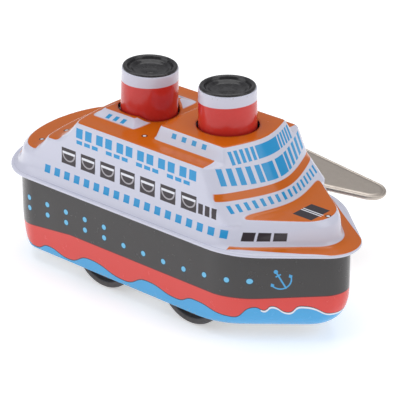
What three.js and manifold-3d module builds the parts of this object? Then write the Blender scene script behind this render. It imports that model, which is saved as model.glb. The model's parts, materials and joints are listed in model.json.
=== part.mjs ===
// Clockwork ocean liner: a pressed tinplate toy boat on four wheels, with bobbing funnels.
// Millimetres. +X is the bow, +Y is port (the key side), +Z is up, the wheels stand on z = 0.

import * as THREE from 'three';
import { mergeVertices } from 'three/addons/utils/BufferGeometryUtils.js';
import Module from 'manifold-3d';

const wasm = await Module();
wasm.setup();

const rad = THREE.MathUtils.degToRad;

// ---------- driving dimensions ----------

const GAP = 0.3;                    // clearance between pieces that touch on the real toy

// Plan outline of the rim, where the superstructure is crimped over the hull.
const RIM = {
  noseTip: 61, noseRadius: 10.4, bowAngle: rad(40.4), bendRadius: 25,
  halfBeam: 25.75, sternTip: -64, sternCentre: -45.75,
};
const RIM_BOTTOM = 29.8;
const RIM_TOP = 30.8;

const HULL_BOTTOM = 4.9;
const HULL_TOP = RIM_BOTTOM - GAP;
const HULL_INSET = 3.2;             // hull side inside the rim
const FLANGE_INSET = 1.6;           // edge of the hull's flange inside the rim
const FLANGE = 0.6;                 // thickness of that flange, which the rim is crimped round
const BILGE_TOP = 15;               // below this the bow and stern round inwards
const TIN = 0.8;                    // modelled sheet thickness

const BASE_BOTTOM = 5.1;
const BASE_THICKNESS = 0.8;

// Deck heights and funnels.
const DECK_1 = 38.4;                // foredeck and lower aft deck
const DECK_2 = 44;
const MAIN_DECK = 51.8;
const AFT_HOUSE_TOP = 53.6;
const FORE_HOUSE_TOP = 56.2;
const FUNNEL_HOLE_RADIUS = 9.3;
const FUNNEL_RADIUS = 8.65;
const FUNNELS = [
  { name: 'front', x: 13.65, top: 68.5 },
  { name: 'rear', x: -17.55, top: 66.8 },
];

// Running gear.
const WHEEL_RADIUS = 12;
const WHEEL_INNER = 15.7;
const WHEEL_OUTER = 20.5;
const AXLE_RADIUS = 1;
const FRONT_AXLE = { x: 16.6, z: WHEEL_RADIUS };
const REAR_AXLE = { x: -18.5, z: WHEEL_RADIUS };

// Clockwork motor, between two plates.
const PLATE_INNER = 9.5;
const PLATE_THICKNESS = 1;
const ARBOR = { x: 11, z: 25.2 };
const ARBOR_RADIUS = 1.5;
const SHAFT_RADIUS = 1;
const MODULE = 0.6;                 // gear module
const TEETH = { great: 32, idlerPinion: 10, idlerWheel: 30, drivePinion: 12, ratchet: 12 };
const GREAT_WHEEL_Y = [6.4, 7.6];
const RATCHET_Y = [4.9, 6.1];
const IDLER_WHEEL_Y = [-8.4, -7.2];
const SPRING_Y = [-5.6, 3.4];
const PILLARS = [
  { name: 'pillar_aft', x: -28, z: 18 },
  { name: 'pillar_upper', x: -4, z: 34 },
  { name: 'pillar_spring', x: 0.6, z: 18.4 },
  { name: 'pillar_fore', x: 30, z: 12.2 },
];

// Winding key.
const KEY_INNER = 35.2;             // inboard edge of the blade beside the stem
const KEY_OUTER = 53.6;             // outboard edge
const KEY_HALF_SPAN = 24.3;
const KEY_THICKNESS = 1.5;
const KEY_TILT = rad(6.4);          // bow wing lower

// Funnel rocker.
const ROCKER = { x: (FUNNELS[0].x + FUNNELS[1].x) / 2, z: 42 };
const ROD_ARM = 5;                  // rocker pivot to push rod pin
const STROKE_ANGLE = rad(6);
const ECCENTRICITY = ROD_ARM * Math.sin(STROKE_ANGLE);
const ROD_Y = [2.6, 3.8];

// ---------- solids ----------

// Shared vertices merged, collapsed triangles dropped, faces pointing out.
function closed(geometry) {
  const bare = geometry.clone();
  bare.deleteAttribute('normal');
  bare.deleteAttribute('uv');
  const merged = mergeVertices(bare, 1e-4);
  const index = merged.index.array;
  const position = merged.attributes.position;
  const kept = [];
  const [a, b, c] = [0, 0, 0].map(() => new THREE.Vector3());
  let volume = 0;
  for (let i = 0; i < index.length; i += 3) {
    const [p, q, r] = [index[i], index[i + 1], index[i + 2]];
    if (p === q || q === r || r === p) continue;
    kept.push([p, q, r]);
    a.fromBufferAttribute(position, p);
    b.fromBufferAttribute(position, q);
    c.fromBufferAttribute(position, r);
    volume += a.dot(b.cross(c));
  }
  merged.setIndex(kept.flatMap(([p, q, r]) => (volume < 0 ? [p, r, q] : [p, q, r])));
  return merged;
}

function solid(geometry) {
  const { attributes, index } = closed(geometry);
  return new wasm.Manifold(new wasm.Mesh({
    numProp: 3,
    vertProperties: new Float32Array(attributes.position.array),
    triVerts: new Uint32Array(index.array),
  }));
}

function fromSolid(manifold) {
  const { vertProperties, triVerts } = manifold.getMesh();
  const geometry = new THREE.BufferGeometry();
  geometry.setAttribute('position', new THREE.BufferAttribute(vertProperties, 3));
  geometry.setIndex(new THREE.BufferAttribute(triVerts, 1));
  return geometry;
}

const join = (...parts) => fromSolid(parts.map(solid).reduce((sum, part) => sum.add(part)));
const cut = (body, ...tools) => fromSolid(
  tools.map(solid).reduce((rest, tool) => rest.subtract(tool), solid(body)));

// Closed skin through rings of points that all have the same count, from the bottom up.
function loft(rings) {
  const count = rings[0].length;
  const positions = rings.flat(2);
  const faces = [];
  for (let level = 0; level < rings.length - 1; level += 1) {
    for (let i = 0; i < count; i += 1) {
      const [a, b] = [level * count + i, level * count + (i + 1) % count];
      faces.push(a, b, b + count, a, b + count, a + count);
    }
  }
  const top = (rings.length - 1) * count;
  for (const [start, order] of [[0, [0, 2, 1]], [top, [0, 1, 2]]]) {
    const contour = rings[start / count].map(([x, y]) => new THREE.Vector2(x, y));
    for (const face of THREE.ShapeUtils.triangulateShape(contour, [])) {
      faces.push(...order.map((corner) => start + face[corner]));
    }
  }
  const geometry = new THREE.BufferGeometry();
  geometry.setAttribute('position', new THREE.Float32BufferAttribute(positions, 3));
  geometry.setIndex(faces);
  return geometry;
}

const atHeight = (outline, z) => outline.map(([x, y]) => [x, y, z]);
const mirrored = (half) => [...half, ...half.slice(1, -1).reverse().map(([x, y]) => [x, -y])];

// Box from its low corner to its high corner.
function box([x0, y0, z0], [x1, y1, z1]) {
  return new THREE.BoxGeometry(x1 - x0, y1 - y0, z1 - z0)
    .translate((x0 + x1) / 2, (y0 + y1) / 2, (z0 + z1) / 2);
}

// Body turned about a line along Y through the origin; the profile lists [radius, y].
function turned(profile, segments = 20) {
  return closed(new THREE.LatheGeometry(profile.map(([r, y]) => new THREE.Vector2(r, y)), segments));
}

const rod = (radius, [y0, y1], segments = 20) => turned(
  [[0, y0], [radius, y0], [radius, y1], [0, y1]], segments);

// Flat piece: an outline in X and Z with round holes, extruded across Y.
function flatPiece(points, [y0, y1], holes = []) {
  const shape = new THREE.Shape(points.map(([x, z]) => new THREE.Vector2(x, z)));
  for (const { x, z, radius } of holes) {
    shape.holes.push(new THREE.Path().absarc(x, z, radius, 0, 2 * Math.PI, true));
  }
  return closed(new THREE.ExtrudeGeometry(shape, { depth: y1 - y0, bevelEnabled: false, curveSegments: 6 })
    .rotateX(Math.PI / 2).translate(0, y1, 0));
}

function arc(x, z, radius, from, to, steps) {
  return Array.from({ length: steps + 1 }, (_, i) => {
    const angle = from + (to - from) * i / steps;
    return [x + radius * Math.cos(angle), z + radius * Math.sin(angle)];
  });
}

// ---------- named pieces ----------

const boat = new THREE.Group();

const FINISHES = {
  white_tin: { color: '#d8dbe8', roughness: 0.3, metalness: 0.1 },
  black_tin: { color: '#4b4949', roughness: 0.3, metalness: 0.1 },
  red_tin: { color: '#c43c36', roughness: 0.3, metalness: 0.1 },
  cap_tin: { color: '#2d2d2f', roughness: 0.25, metalness: 0.2 },
  key_steel: { color: '#9e948a', roughness: 0.4, metalness: 0.9 },
  motor_steel: { color: '#a9a9a6', roughness: 0.4, metalness: 0.9 },
  brass: { color: '#c2a24e', roughness: 0.35, metalness: 0.9 },
  spring_steel: { color: '#5c6068', roughness: 0.35, metalness: 0.9 },
  wheel_plastic: { color: '#464242', roughness: 0.6, metalness: 0 },
};

function add(name, finish, geometry, { x = 0, y = 0, z = 0 } = {}) {
  const mesh = new THREE.Mesh(geometry, new THREE.MeshStandardMaterial(FINISHES[finish]));
  mesh.name = name;
  mesh.position.set(x, y, z);
  boat.add(mesh);
  return mesh;
}

// ---------- hull ----------

// Pointed bow with a round nose, filleted bends, parallel sides and a half-ellipse stern.
function boatPlan({ noseTip, noseRadius, bowAngle, bendRadius, halfBeam, sternTip, sternCentre }) {
  const noseCentre = noseTip - noseRadius;
  const [nx, ny] = [Math.sin(bowAngle), Math.cos(bowAngle)];
  const bendY = halfBeam - bendRadius;
  const bendX = (nx * noseCentre + noseRadius - bendRadius - ny * bendY) / nx;
  const flank = Math.PI / 2 - bowAngle;
  const sternLength = sternCentre - sternTip;
  const stern = arc(0, 0, 1, Math.PI / 2, Math.PI, 8).slice(0, -1)
    .map(([c, s]) => [sternCentre + sternLength * c, halfBeam * s]);
  return mirrored([
    [noseTip, 0],
    ...arc(noseCentre, 0, noseRadius, 0, flank, 3).slice(1),
    ...arc(bendX, bendY, bendRadius, flank, Math.PI / 2, 4),
    ...stern,
    [sternTip, 0],
  ]);
}

function inset(plan, distance) {
  return {
    ...plan,
    noseTip: plan.noseTip - distance,
    noseRadius: plan.noseRadius - distance,
    bendRadius: plan.bendRadius - distance,
    halfBeam: plan.halfBeam - distance,
    sternTip: plan.sternTip + distance,
  };
}

// Hull outline at a height: nearly upright sides, with the stem and stern rounding in below.
function hullPlan(z, wall) {
  const drop = Math.max(0, (BILGE_TOP - z) / (BILGE_TOP - HULL_BOTTOM));
  const round = 1 - Math.sqrt(1 - drop * drop * 0.98);
  const section = inset(RIM, HULL_INSET + 0.3 * drop);
  section.noseTip -= 7.5 * round;
  section.sternTip += 3.2 * round;
  section.halfBeam -= 0.3 * round;
  return boatPlan(inset(section, wall));
}

const HULL_HEIGHTS = [HULL_BOTTOM, 6, 8, 11, BILGE_TOP, HULL_TOP];

function hullShell() {
  const side = loft(HULL_HEIGHTS.map((z) => atHeight(hullPlan(z, 0), z)));
  const flange = loft([HULL_TOP - FLANGE, HULL_TOP].map(
    (z) => atHeight(boatPlan(inset(RIM, FLANGE_INSET)), z)));
  const inner = HULL_HEIGHTS.map((z) => atHeight(hullPlan(z, TIN), z));
  const inside = loft([
    atHeight(hullPlan(HULL_BOTTOM, TIN), HULL_BOTTOM - 1),
    ...inner,
    atHeight(hullPlan(HULL_TOP, TIN), HULL_TOP + 1),
  ]);
  const keyHole = rod(3.2, [15, 30]).translate(ARBOR.x, 0, ARBOR.z);
  return cut(join(side, flange), inside, keyHole);
}

// Floor of the boat, small enough to pass in over the hull's turned-in foot, with a slot for each
// wheel and for each tab of the motor plates.
// Low and high y of a piece that lies between two distances from the middle plane, on one side.
const span = (side, near, far) => (side > 0 ? [near, far] : [-far, -near]);

const TABS_X = [-10, 24];
const TAB_LENGTH = 4;
const SLOT_HALF = 11.4;             // half length of a wheel slot

function basePlate() {
  const plate = loft([BASE_BOTTOM, BASE_BOTTOM + BASE_THICKNESS].map(
    (z) => atHeight(hullPlan(HULL_BOTTOM, TIN + GAP), z)));
  const low = BASE_BOTTOM - 1;
  const high = BASE_BOTTOM + BASE_THICKNESS + 1;
  const slots = [];
  for (const side of [-1, 1]) {
    for (const { x } of [FRONT_AXLE, REAR_AXLE]) {
      const [y0, y1] = span(side, WHEEL_INNER - 0.5, WHEEL_OUTER + 0.5);
      slots.push(box([x - SLOT_HALF, y0, low], [x + SLOT_HALF, y1, high]));
    }
    for (const x of TABS_X) {
      const [y0, y1] = span(side, PLATE_INNER - GAP, PLATE_INNER + PLATE_THICKNESS + GAP);
      slots.push(box([x - GAP, y0, low], [x + TAB_LENGTH + GAP, y1, high]));
    }
  }
  return cut(plate, ...slots);
}

// ---------- superstructure ----------

// Lower storey: concave flare from the rim, then nearly upright walls to the first deck.
const STOREY_1 = [
  { z: RIM_TOP, halfBeam: 24.3, sternTip: -61.2, noseTip: 54.9, noseRadius: 7.2, bowAngle: rad(43) },
  { z: 32, halfBeam: 23.4, sternTip: -60.5, noseTip: 54.5, noseRadius: 7.4, bowAngle: rad(42.5) },
  { z: 33.5, halfBeam: 22.9, sternTip: -59.9, noseTip: 54.1, noseRadius: 7.8, bowAngle: rad(42) },
  { z: 36.6, halfBeam: 22.4, sternTip: -59, noseTip: 53.2, noseRadius: 9, bowAngle: rad(38.5) },
  { z: DECK_1, halfBeam: 21.2, sternTip: -56.6, noseTip: 51.8, noseRadius: 9.5, bowAngle: rad(36.5) },
];

function storey1(wall) {
  const plan = (level) => boatPlan(inset({ bendRadius: 18, sternCentre: RIM.sternCentre, ...level }, wall));
  const rings = STOREY_1.map((level) => atHeight(plan(level), level.z - wall));
  return wall ? [atHeight(plan(STOREY_1[0]), RIM_BOTTOM - 1), ...rings] : rings;
}

// Raked front of the upper storeys: height, how far forward its middle stands, and its sweep back.
const FRONT = [
  { z: 37, x: 39.6, sweep: 0.36 },
  { z: DECK_2, x: 34.2, sweep: 0.48 },
  { z: MAIN_DECK, x: 29.8, sweep: 0.42 },
  { z: FORE_HOUSE_TOP, x: 27.7, sweep: 0.48 },
];
const FRONT_ROUNDING = 8;

function frontX(y, z) {
  const next = Math.max(1, FRONT.findIndex((station) => station.z >= z));
  const [low, high] = [FRONT[next - 1], FRONT[next]];
  const t = (z - low.z) / (high.z - low.z);
  const x = THREE.MathUtils.lerp(low.x, high.x, t);
  const sweep = THREE.MathUtils.lerp(low.sweep, high.sweep, t);
  return x - sweep * (Math.hypot(y, FRONT_ROUNDING) - FRONT_ROUNDING);
}

// Outline of an upper storey: swept front, chamfered corners, slightly bowed aft edge.
function storeyPlan({ z, halfWidth, aft, corner = 2.5 }, wall) {
  const half = halfWidth - wall;
  const shoulder = half - corner;
  const front = [0, 0.25, 0.5, 0.75, 1].map((f) => [frontX(f * shoulder, z) - wall, f * shoulder]);
  const aftX = (y) => aft + wall + 0.006 * y * y;
  const back = [1, 0.5, 0].map((f) => [aftX(f * shoulder), f * shoulder]);
  const side = [[frontX(half, z) - wall - corner, half], [aftX(half) + corner, half]];
  return mirrored([...front, ...side, ...back]);
}

const storey = (levels, wall) => levels.map((level) => atHeight(storeyPlan(level, wall), level.z - wall));

const STOREY_2 = [
  { z: 37, halfWidth: 22.2, aft: -45.6 },
  { z: DECK_2, halfWidth: 21.9, aft: -41.4 },
];
const STOREY_3 = [
  { z: 42, halfWidth: 21.9, aft: -35.8 },
  { z: MAIN_DECK, halfWidth: 21.3, aft: -30.7 },
];
const FORE_HOUSE = [
  { z: MAIN_DECK - 1.5, halfWidth: 16, aft: -3.2 },
  { z: FORE_HOUSE_TOP, halfWidth: 13.7, aft: -1.6 },
];
// Low truncated pyramid under the rear funnel: aft and fore edge, half width.
const AFT_HOUSE = [
  { z: MAIN_DECK - 1.5, aft: -27.4, fore: -7.4, half: 18.5 },
  { z: AFT_HOUSE_TOP, aft: -26.4, fore: -13.6, half: 10.2 },
];

function aftHouse(wall) {
  return AFT_HOUSE.map(({ z, aft, fore, half }) => {
    const [a, f, h] = [aft + wall, fore - wall, half - wall];
    return atHeight([[f, -h], [f, h], [a, h], [a, -h]], z - wall);
  });
}

function superstructure() {
  const blocks = (wall) => [
    storey1(wall), storey(STOREY_2, wall), storey(STOREY_3, wall), storey(FORE_HOUSE, wall), aftHouse(wall),
  ].map(loft);
  const rim = loft([RIM_BOTTOM, RIM_TOP].map((z) => atHeight(boatPlan(RIM), z)));
  const holes = FUNNELS.map(({ x }) => rod(FUNNEL_HOLE_RADIUS, [45, 60], 32)
    .rotateX(Math.PI / 2).translate(x, 0, 0));
  return cut(join(rim, ...blocks(0)), join(...blocks(TIN)), ...holes);
}

add('hull_shell', 'black_tin', hullShell());
add('base_plate', 'motor_steel', basePlate());
add('superstructure', 'white_tin', superstructure());

// ---------- funnels ----------

const FUNNEL_HEIGHT = 18;
const FUNNEL_WALL = 0.7;
const CAP_RADIUS = FUNNEL_RADIUS - FUNNEL_WALL - GAP;

// Thin tube with a slight flare at the foot, its top edge turned in a little.
function funnelTube() {
  const [out, inn] = [FUNNEL_RADIUS, FUNNEL_RADIUS - FUNNEL_WALL];
  return turned([
    [inn + 0.1, 0], [out + 0.2, 0], [out, 4],
    [out - 0.1, FUNNEL_HEIGHT - 1.2], [out - 0.35, FUNNEL_HEIGHT - 0.7],
    [inn, FUNNEL_HEIGHT - 0.7], [inn, 4], [inn + 0.1, 0],
  ], 24).rotateX(Math.PI / 2);
}

// Dished cap: rolled rim, ring groove and a low dome in the middle.
function funnelCap() {
  return turned([
    [0, 14.6], [6.4, 14.6], [CAP_RADIUS, 15.4],
    [CAP_RADIUS, FUNNEL_HEIGHT - 0.3], [CAP_RADIUS - 0.4, FUNNEL_HEIGHT],
    [CAP_RADIUS - 1, FUNNEL_HEIGHT - 0.3], [6.1, 16.4], [5.6, 16.2], [2, 16.8], [0, 16.9],
  ], 24).rotateX(Math.PI / 2);
}

// Flat stem under a funnel: a cross-bar inside the tube and a window that the rocker's end works in.
const STEM_THICKNESS = 1.2;
const WINDOW_HALF_HEIGHT = 1.3;

function funnelStem(tubeFoot) {
  const half = STEM_THICKNESS / 2;
  const foot = ROCKER.z - 3;
  const bar = box([-half, -7.5, tubeFoot + 1], [half, 7.5, tubeFoot + 2.6]);
  const post = box([-half, -4, foot], [half, 4, tubeFoot + 2]);
  const window = box([-2, -2.5, ROCKER.z - WINDOW_HALF_HEIGHT], [2, 2.5, ROCKER.z + WINDOW_HALF_HEIGHT]);
  return cut(join(bar, post), window);
}

for (const { name, x, top } of FUNNELS) {
  const foot = top - FUNNEL_HEIGHT;
  add(`${name}_funnel`, 'red_tin', funnelTube(), { x, z: foot });
  add(`${name}_funnel_cap`, 'cap_tin', funnelCap(), { x, z: foot });
  add(`${name}_funnel_stem`, 'motor_steel', funnelStem(foot), { x });
}

// ---------- funnel rocker and push rod ----------

const ROD_PIN_RADIUS = 0.8;
const ROD_PIN = { x: ROCKER.x - ROD_ARM, z: ROCKER.z };
const ECCENTRIC_RADIUS = 2.3;
const STRAP_WALL = 0.7;

function rockerBeam() {
  const half = 0.7;
  const reach = 1.6;                // how far the ends pass through the stems
  const [aft, fore] = [FUNNELS[1].x - reach, FUNNELS[0].x + reach];
  const bar = box([aft, -2, ROCKER.z - half], [fore, 2, ROCKER.z + half]);
  const hub = rod(2.4, [-2.2, 2.2]).translate(ROCKER.x, 0, ROCKER.z);
  const lug = box([ROD_PIN.x - 1.6, -2, ROCKER.z - 1.6], [ROD_PIN.x + 1.6, 2, ROCKER.z + 1.6]);
  const bore = rod(SHAFT_RADIUS + GAP, [-5, 5]).translate(ROCKER.x, 0, ROCKER.z);
  const pinBore = rod(ROD_PIN_RADIUS + GAP, [-5, 5]).translate(ROD_PIN.x, 0, ROD_PIN.z);
  return cut(join(bar, hub, lug), bore, pinBore);
}

// Link from the rocker to the eccentric; the strap is wide enough for the whole throw.
function pushRod() {
  const strapHole = ECCENTRIC_RADIUS + 3 * ECCENTRICITY + GAP;
  const [dx, dz] = [REAR_AXLE.x - ROD_PIN.x, REAR_AXLE.z - ROD_PIN.z];
  const length = Math.hypot(dx, dz);
  const eye = rod(1.9, ROD_Y).translate(ROD_PIN.x, 0, ROD_PIN.z);
  const strap = rod(strapHole + STRAP_WALL, ROD_Y, 32).translate(REAR_AXLE.x, 0, REAR_AXLE.z);
  const link = box([-0.9, ROD_Y[0], 0], [0.9, ROD_Y[1], length])
    .rotateY(Math.atan2(-dx, -dz)).translate(REAR_AXLE.x, 0, REAR_AXLE.z);
  const eyeBore = rod(ROD_PIN_RADIUS + GAP, [0, 6]).translate(ROD_PIN.x, 0, ROD_PIN.z);
  const strapBore = rod(strapHole, [0, 6], 32).translate(REAR_AXLE.x, 0, REAR_AXLE.z);
  return cut(join(eye, strap, link), eyeBore, strapBore);
}

// Headed pin: a head at each end holds the pieces on it.
function headedPin(radius, headRadius, [y0, y1], headLength = 0.6) {
  return turned([
    [0, y0], [headRadius, y0], [headRadius, y0 + headLength], [radius, y0 + headLength],
    [radius, y1 - headLength], [headRadius, y1 - headLength], [headRadius, y1], [0, y1],
  ], 16);
}

const PLATE_OUTER = PLATE_INNER + PLATE_THICKNESS;
const RIVET_END = PLATE_OUTER + GAP + 0.6;

add('rocker_beam', 'motor_steel', rockerBeam());
add('rocker_pin', 'motor_steel', headedPin(SHAFT_RADIUS, 1.7, [-RIVET_END, RIVET_END]), ROCKER);
add('push_rod', 'motor_steel', pushRod());
add('push_rod_pin', 'motor_steel', headedPin(ROD_PIN_RADIUS, 1.5, [-2.9, ROD_Y[1] + 0.9]), ROD_PIN);

// ---------- gears ----------

// Centre of the idler, from its distances to the arbor and to the front axle.
function idlerCentre() {
  const toArbor = MODULE * (TEETH.great + TEETH.idlerPinion) / 2;
  const toAxle = MODULE * (TEETH.idlerWheel + TEETH.drivePinion) / 2;
  const [dx, dz] = [FRONT_AXLE.x - ARBOR.x, FRONT_AXLE.z - ARBOR.z];
  const span = Math.hypot(dx, dz);
  const along = (toArbor ** 2 - toAxle ** 2 + span ** 2) / (2 * span);
  const across = Math.sqrt(toArbor ** 2 - along ** 2);
  return {
    x: ARBOR.x + (along * dx - across * dz) / span,
    z: ARBOR.z + (along * dz + across * dx) / span,
  };
}

const IDLER = idlerCentre();
const bearing = (from, to) => Math.atan2(to.z - from.z, to.x - from.x);

// Spur gear with straight-flanked teeth, one of them centred on the phase angle.
function gear(teeth, boreRadius, phase, width, holes = []) {
  const pitchRadius = MODULE * teeth / 2;
  const pitch = 2 * Math.PI / teeth;
  const [root, tip] = [pitchRadius - 1.15 * MODULE, pitchRadius + 0.85 * MODULE];
  const tooth = [[root, -0.3], [tip, -0.1], [tip, 0.1], [root, 0.3]];
  const points = Array.from({ length: teeth }, (_, i) => tooth.map(([radius, share]) => {
    const angle = phase + (i + share) * pitch;
    return [radius * Math.cos(angle), radius * Math.sin(angle)];
  })).flat();
  return flatPiece(points, width, [{ x: 0, z: 0, radius: boreRadius }, ...holes]);
}

const widened = ([y0, y1], by) => [y0 - by, y1 + by];
const toGap = (teeth) => Math.PI / teeth;   // half a pitch, which turns a tooth into a gap
const CLICK_PIVOT = 7;              // forward of the arbor, on the great wheel
const CLICK_RIVET_RADIUS = 0.7;

function addGears() {
  const bore = SHAFT_RADIUS + GAP;
  const pinionPhase = bearing(IDLER, ARBOR) + toGap(TEETH.idlerPinion);
  const drivePhase = bearing(FRONT_AXLE, IDLER) + toGap(TEETH.drivePinion);
  const rivetHole = { x: CLICK_PIVOT, z: 0, radius: CLICK_RIVET_RADIUS + GAP };
  add('great_wheel', 'brass',
    gear(TEETH.great, ARBOR_RADIUS + GAP, bearing(ARBOR, IDLER), GREAT_WHEEL_Y, [rivetHole]), ARBOR);
  add('idler_pinion', 'motor_steel',
    gear(TEETH.idlerPinion, bore, pinionPhase, widened(GREAT_WHEEL_Y, 0.6)), IDLER);
  add('idler_wheel', 'brass',
    gear(TEETH.idlerWheel, bore, bearing(IDLER, FRONT_AXLE), IDLER_WHEEL_Y), IDLER);
  add('drive_pinion', 'motor_steel',
    gear(TEETH.drivePinion, AXLE_RADIUS + GAP, drivePhase, widened(IDLER_WHEEL_Y, 0.6)), FRONT_AXLE);
  add('idler_shaft', 'motor_steel', rod(SHAFT_RADIUS, [-PLATE_OUTER - 0.7, PLATE_OUTER + 0.7]), IDLER);
}

addGears();

// ---------- ratchet, click and mainspring ----------

const RATCHET_TIP = 4.6;
const RATCHET_ROOT = 3.7;

function ratchetWheel() {
  const pitch = 2 * Math.PI / TEETH.ratchet;
  const points = Array.from({ length: TEETH.ratchet }, (_, i) => [
    [RATCHET_ROOT * Math.cos(i * pitch), RATCHET_ROOT * Math.sin(i * pitch)],
    [RATCHET_TIP * Math.cos(i * pitch), RATCHET_TIP * Math.sin(i * pitch)],
  ]).flat();
  return flatPiece(points, RATCHET_Y, [{ x: 0, z: 0, radius: ARBOR_RADIUS + GAP }]);
}

// Spring-steel click: an eye on its rivet, and an arm whose nose stops a ratchet tooth's radial flank.
function click() {
  const flank = 2 * 360 / TEETH.ratchet;
  const nose = [[5.3, 3], [4.1, 5], [4.5, 11], [5.1, 20]].map(([radius, behind]) => {
    const angle = rad(flank - behind);
    return [radius * Math.cos(angle), radius * Math.sin(angle)];
  });
  const arm = flatPiece([...nose, [CLICK_PIVOT - 1, 0.5], [CLICK_PIVOT + 1, 0.9]], RATCHET_Y);
  const eye = rod(1.4, RATCHET_Y, 16).translate(CLICK_PIVOT, 0, 0);
  const bore = rod(CLICK_RIVET_RADIUS + GAP, [0, 9], 16).translate(CLICK_PIVOT, 0, 0);
  return cut(join(arm, eye), bore);
}

// Spiral strip round the arbor, its outer end running out to the spring pillar.
function mainspring() {
  const [inner, outer, turns, steps, half] = [2.9, 8.6, 5, 70, 0.25];
  const strip = (offset) => Array.from({ length: steps + 1 }, (_, i) => {
    const t = i / steps;
    const angle = Math.PI - 2 * Math.PI * turns * (1 - t);
    const radius = THREE.MathUtils.lerp(inner, outer, t) + offset;
    return [radius * Math.cos(angle), radius * Math.sin(angle)];
  });
  const tail = (offset) => [-outer - 0.1 - offset, -4.6];
  return flatPiece([...strip(-half), tail(-half), tail(half), ...strip(half).reverse()], SPRING_Y);
}

add('ratchet_wheel', 'motor_steel', ratchetWheel(), ARBOR);
add('click', 'spring_steel', click(), ARBOR);
add('click_rivet', 'brass',
  headedPin(CLICK_RIVET_RADIUS, 1.2, [RATCHET_Y[0] - 0.9, GREAT_WHEEL_Y[1] + 0.9]),
  { x: ARBOR.x + CLICK_PIVOT, z: ARBOR.z });
add('mainspring', 'spring_steel', mainspring(), ARBOR);

// ---------- motor frame ----------

// Side plate with an ear that carries the rocker pin and two tabs through the base.
function motorPlate(side) {
  const bottom = 8.4;
  const foot = HULL_BOTTOM + 0.5;
  const tab = (x) => [[x, bottom], [x, foot], [x + TAB_LENGTH, foot], [x + TAB_LENGTH, bottom]];
  const ear = arc(ROCKER.x, ROCKER.z, 2.8, 0, Math.PI, 8);
  const outline = [
    [-26, bottom], ...TABS_X.flatMap(tab), [31, bottom], [34.5, 13], [34.5, 29], [28, 36.4], [5, 36.4],
    ...ear, [-9, 36.4], [-14, 26], [-31, 21.5], [-31, 14],
  ];
  const holes = [
    { ...ARBOR, radius: ARBOR_RADIUS + GAP },
    { ...IDLER, radius: SHAFT_RADIUS + GAP },
    { ...ROCKER, radius: SHAFT_RADIUS + GAP },
    ...[FRONT_AXLE, REAR_AXLE].map((axle) => ({ ...axle, radius: AXLE_RADIUS + GAP })),
    ...PILLARS.map((pillar) => ({ ...pillar, radius: 0.9 + GAP })),
  ];
  return flatPiece(outline, span(side, PLATE_INNER, PLATE_OUTER), holes);
}

// Distance pillar: thick between the plates, its thin ends riveted over outside them.
function pillar() {
  const inside = PLATE_INNER - GAP;
  return turned([
    [0, -RIVET_END], [1.5, -RIVET_END], [1.5, -RIVET_END + 0.6], [0.9, -RIVET_END + 0.6], [0.9, -inside],
    [1.6, -inside], [1.6, inside], [0.9, inside], [0.9, RIVET_END - 0.6], [1.5, RIVET_END - 0.6],
    [1.5, RIVET_END], [0, RIVET_END],
  ], 10);
}

add('motor_plate_port', 'motor_steel', motorPlate(1));
add('motor_plate_starboard', 'motor_steel', motorPlate(-1));
for (const { name, x, z } of PILLARS) add(name, 'motor_steel', pillar(), { x, z });

// ---------- arbor and winding key ----------

const ARBOR_END = 37;

function windingArbor() {
  const barrel = 2.3;
  return turned([
    [0, -RIVET_END], [ARBOR_RADIUS, -RIVET_END], [ARBOR_RADIUS, SPRING_Y[0]], [barrel, SPRING_Y[0]],
    [barrel, SPRING_Y[1]], [ARBOR_RADIUS, SPRING_Y[1]], [ARBOR_RADIUS, ARBOR_END], [0, ARBOR_END],
  ]);
}

// Folded steel blade, drawn in X and Y: straight outboard edge, round tips, inboard edges rising
// from the stem, with a socket for the arbor.
function windingKey() {
  const tip = 5.4;
  const tipX = KEY_HALF_SPAN - tip;
  const tipY = KEY_OUTER - tip;
  const wing = [[3, KEY_INNER], ...arc(tipX, tipY, tip, rad(-68), Math.PI / 2, 8)];
  const outline = [...wing, ...wing.map(([x, y]) => [-x, y]).reverse()];
  const shape = new THREE.Shape(outline.map(([x, y]) => new THREE.Vector2(x, y)));
  const blade = new THREE.ExtrudeGeometry(shape, { depth: KEY_THICKNESS, bevelEnabled: false })
    .translate(0, 0, -KEY_THICKNESS / 2);
  const socket = rod(2.7, [26.4, 41]);
  const bore = rod(ARBOR_RADIUS + GAP, [20, ARBOR_END + GAP]);
  return cut(join(blade, socket), bore);
}

add('winding_arbor', 'motor_steel', windingArbor(), ARBOR);
add('winding_key', 'key_steel', windingKey(), ARBOR).rotation.y = KEY_TILT;

// ---------- wheels and axles ----------

// Moulded wheel: flat tread, dished outer face and a hub bored for the axle.
function wheel(side) {
  const bore = AXLE_RADIUS + GAP;
  const dish = WHEEL_RADIUS - 2.2;
  return turned([
    [bore, WHEEL_INNER], [3.6, WHEEL_INNER], [3.8, WHEEL_INNER + 1.4], [dish, WHEEL_INNER + 1.4],
    [dish + 0.2, WHEEL_INNER], [WHEEL_RADIUS, WHEEL_INNER], [WHEEL_RADIUS, WHEEL_OUTER],
    [dish + 0.2, WHEEL_OUTER], [dish, WHEEL_OUTER - 1.2], [3.8, WHEEL_OUTER - 1.2],
    [3.6, WHEEL_OUTER], [bore, WHEEL_OUTER], [bore, WHEEL_INNER],
  ].map(([r, y]) => [r, side * y]), 32);
}

// Disc on the rear axle whose centre stands forward of it by the eccentricity.
function eccentric() {
  const [dx, dz] = [ROD_PIN.x - REAR_AXLE.x, ROD_PIN.z - REAR_AXLE.z];
  const length = Math.hypot(dx, dz);
  const disc = rod(ECCENTRIC_RADIUS, widened(ROD_Y, 0.4), 24)
    .translate(ECCENTRICITY * dz / length, 0, -ECCENTRICITY * dx / length);
  return cut(disc, rod(AXLE_RADIUS + GAP, [0, 6]));
}

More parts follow.
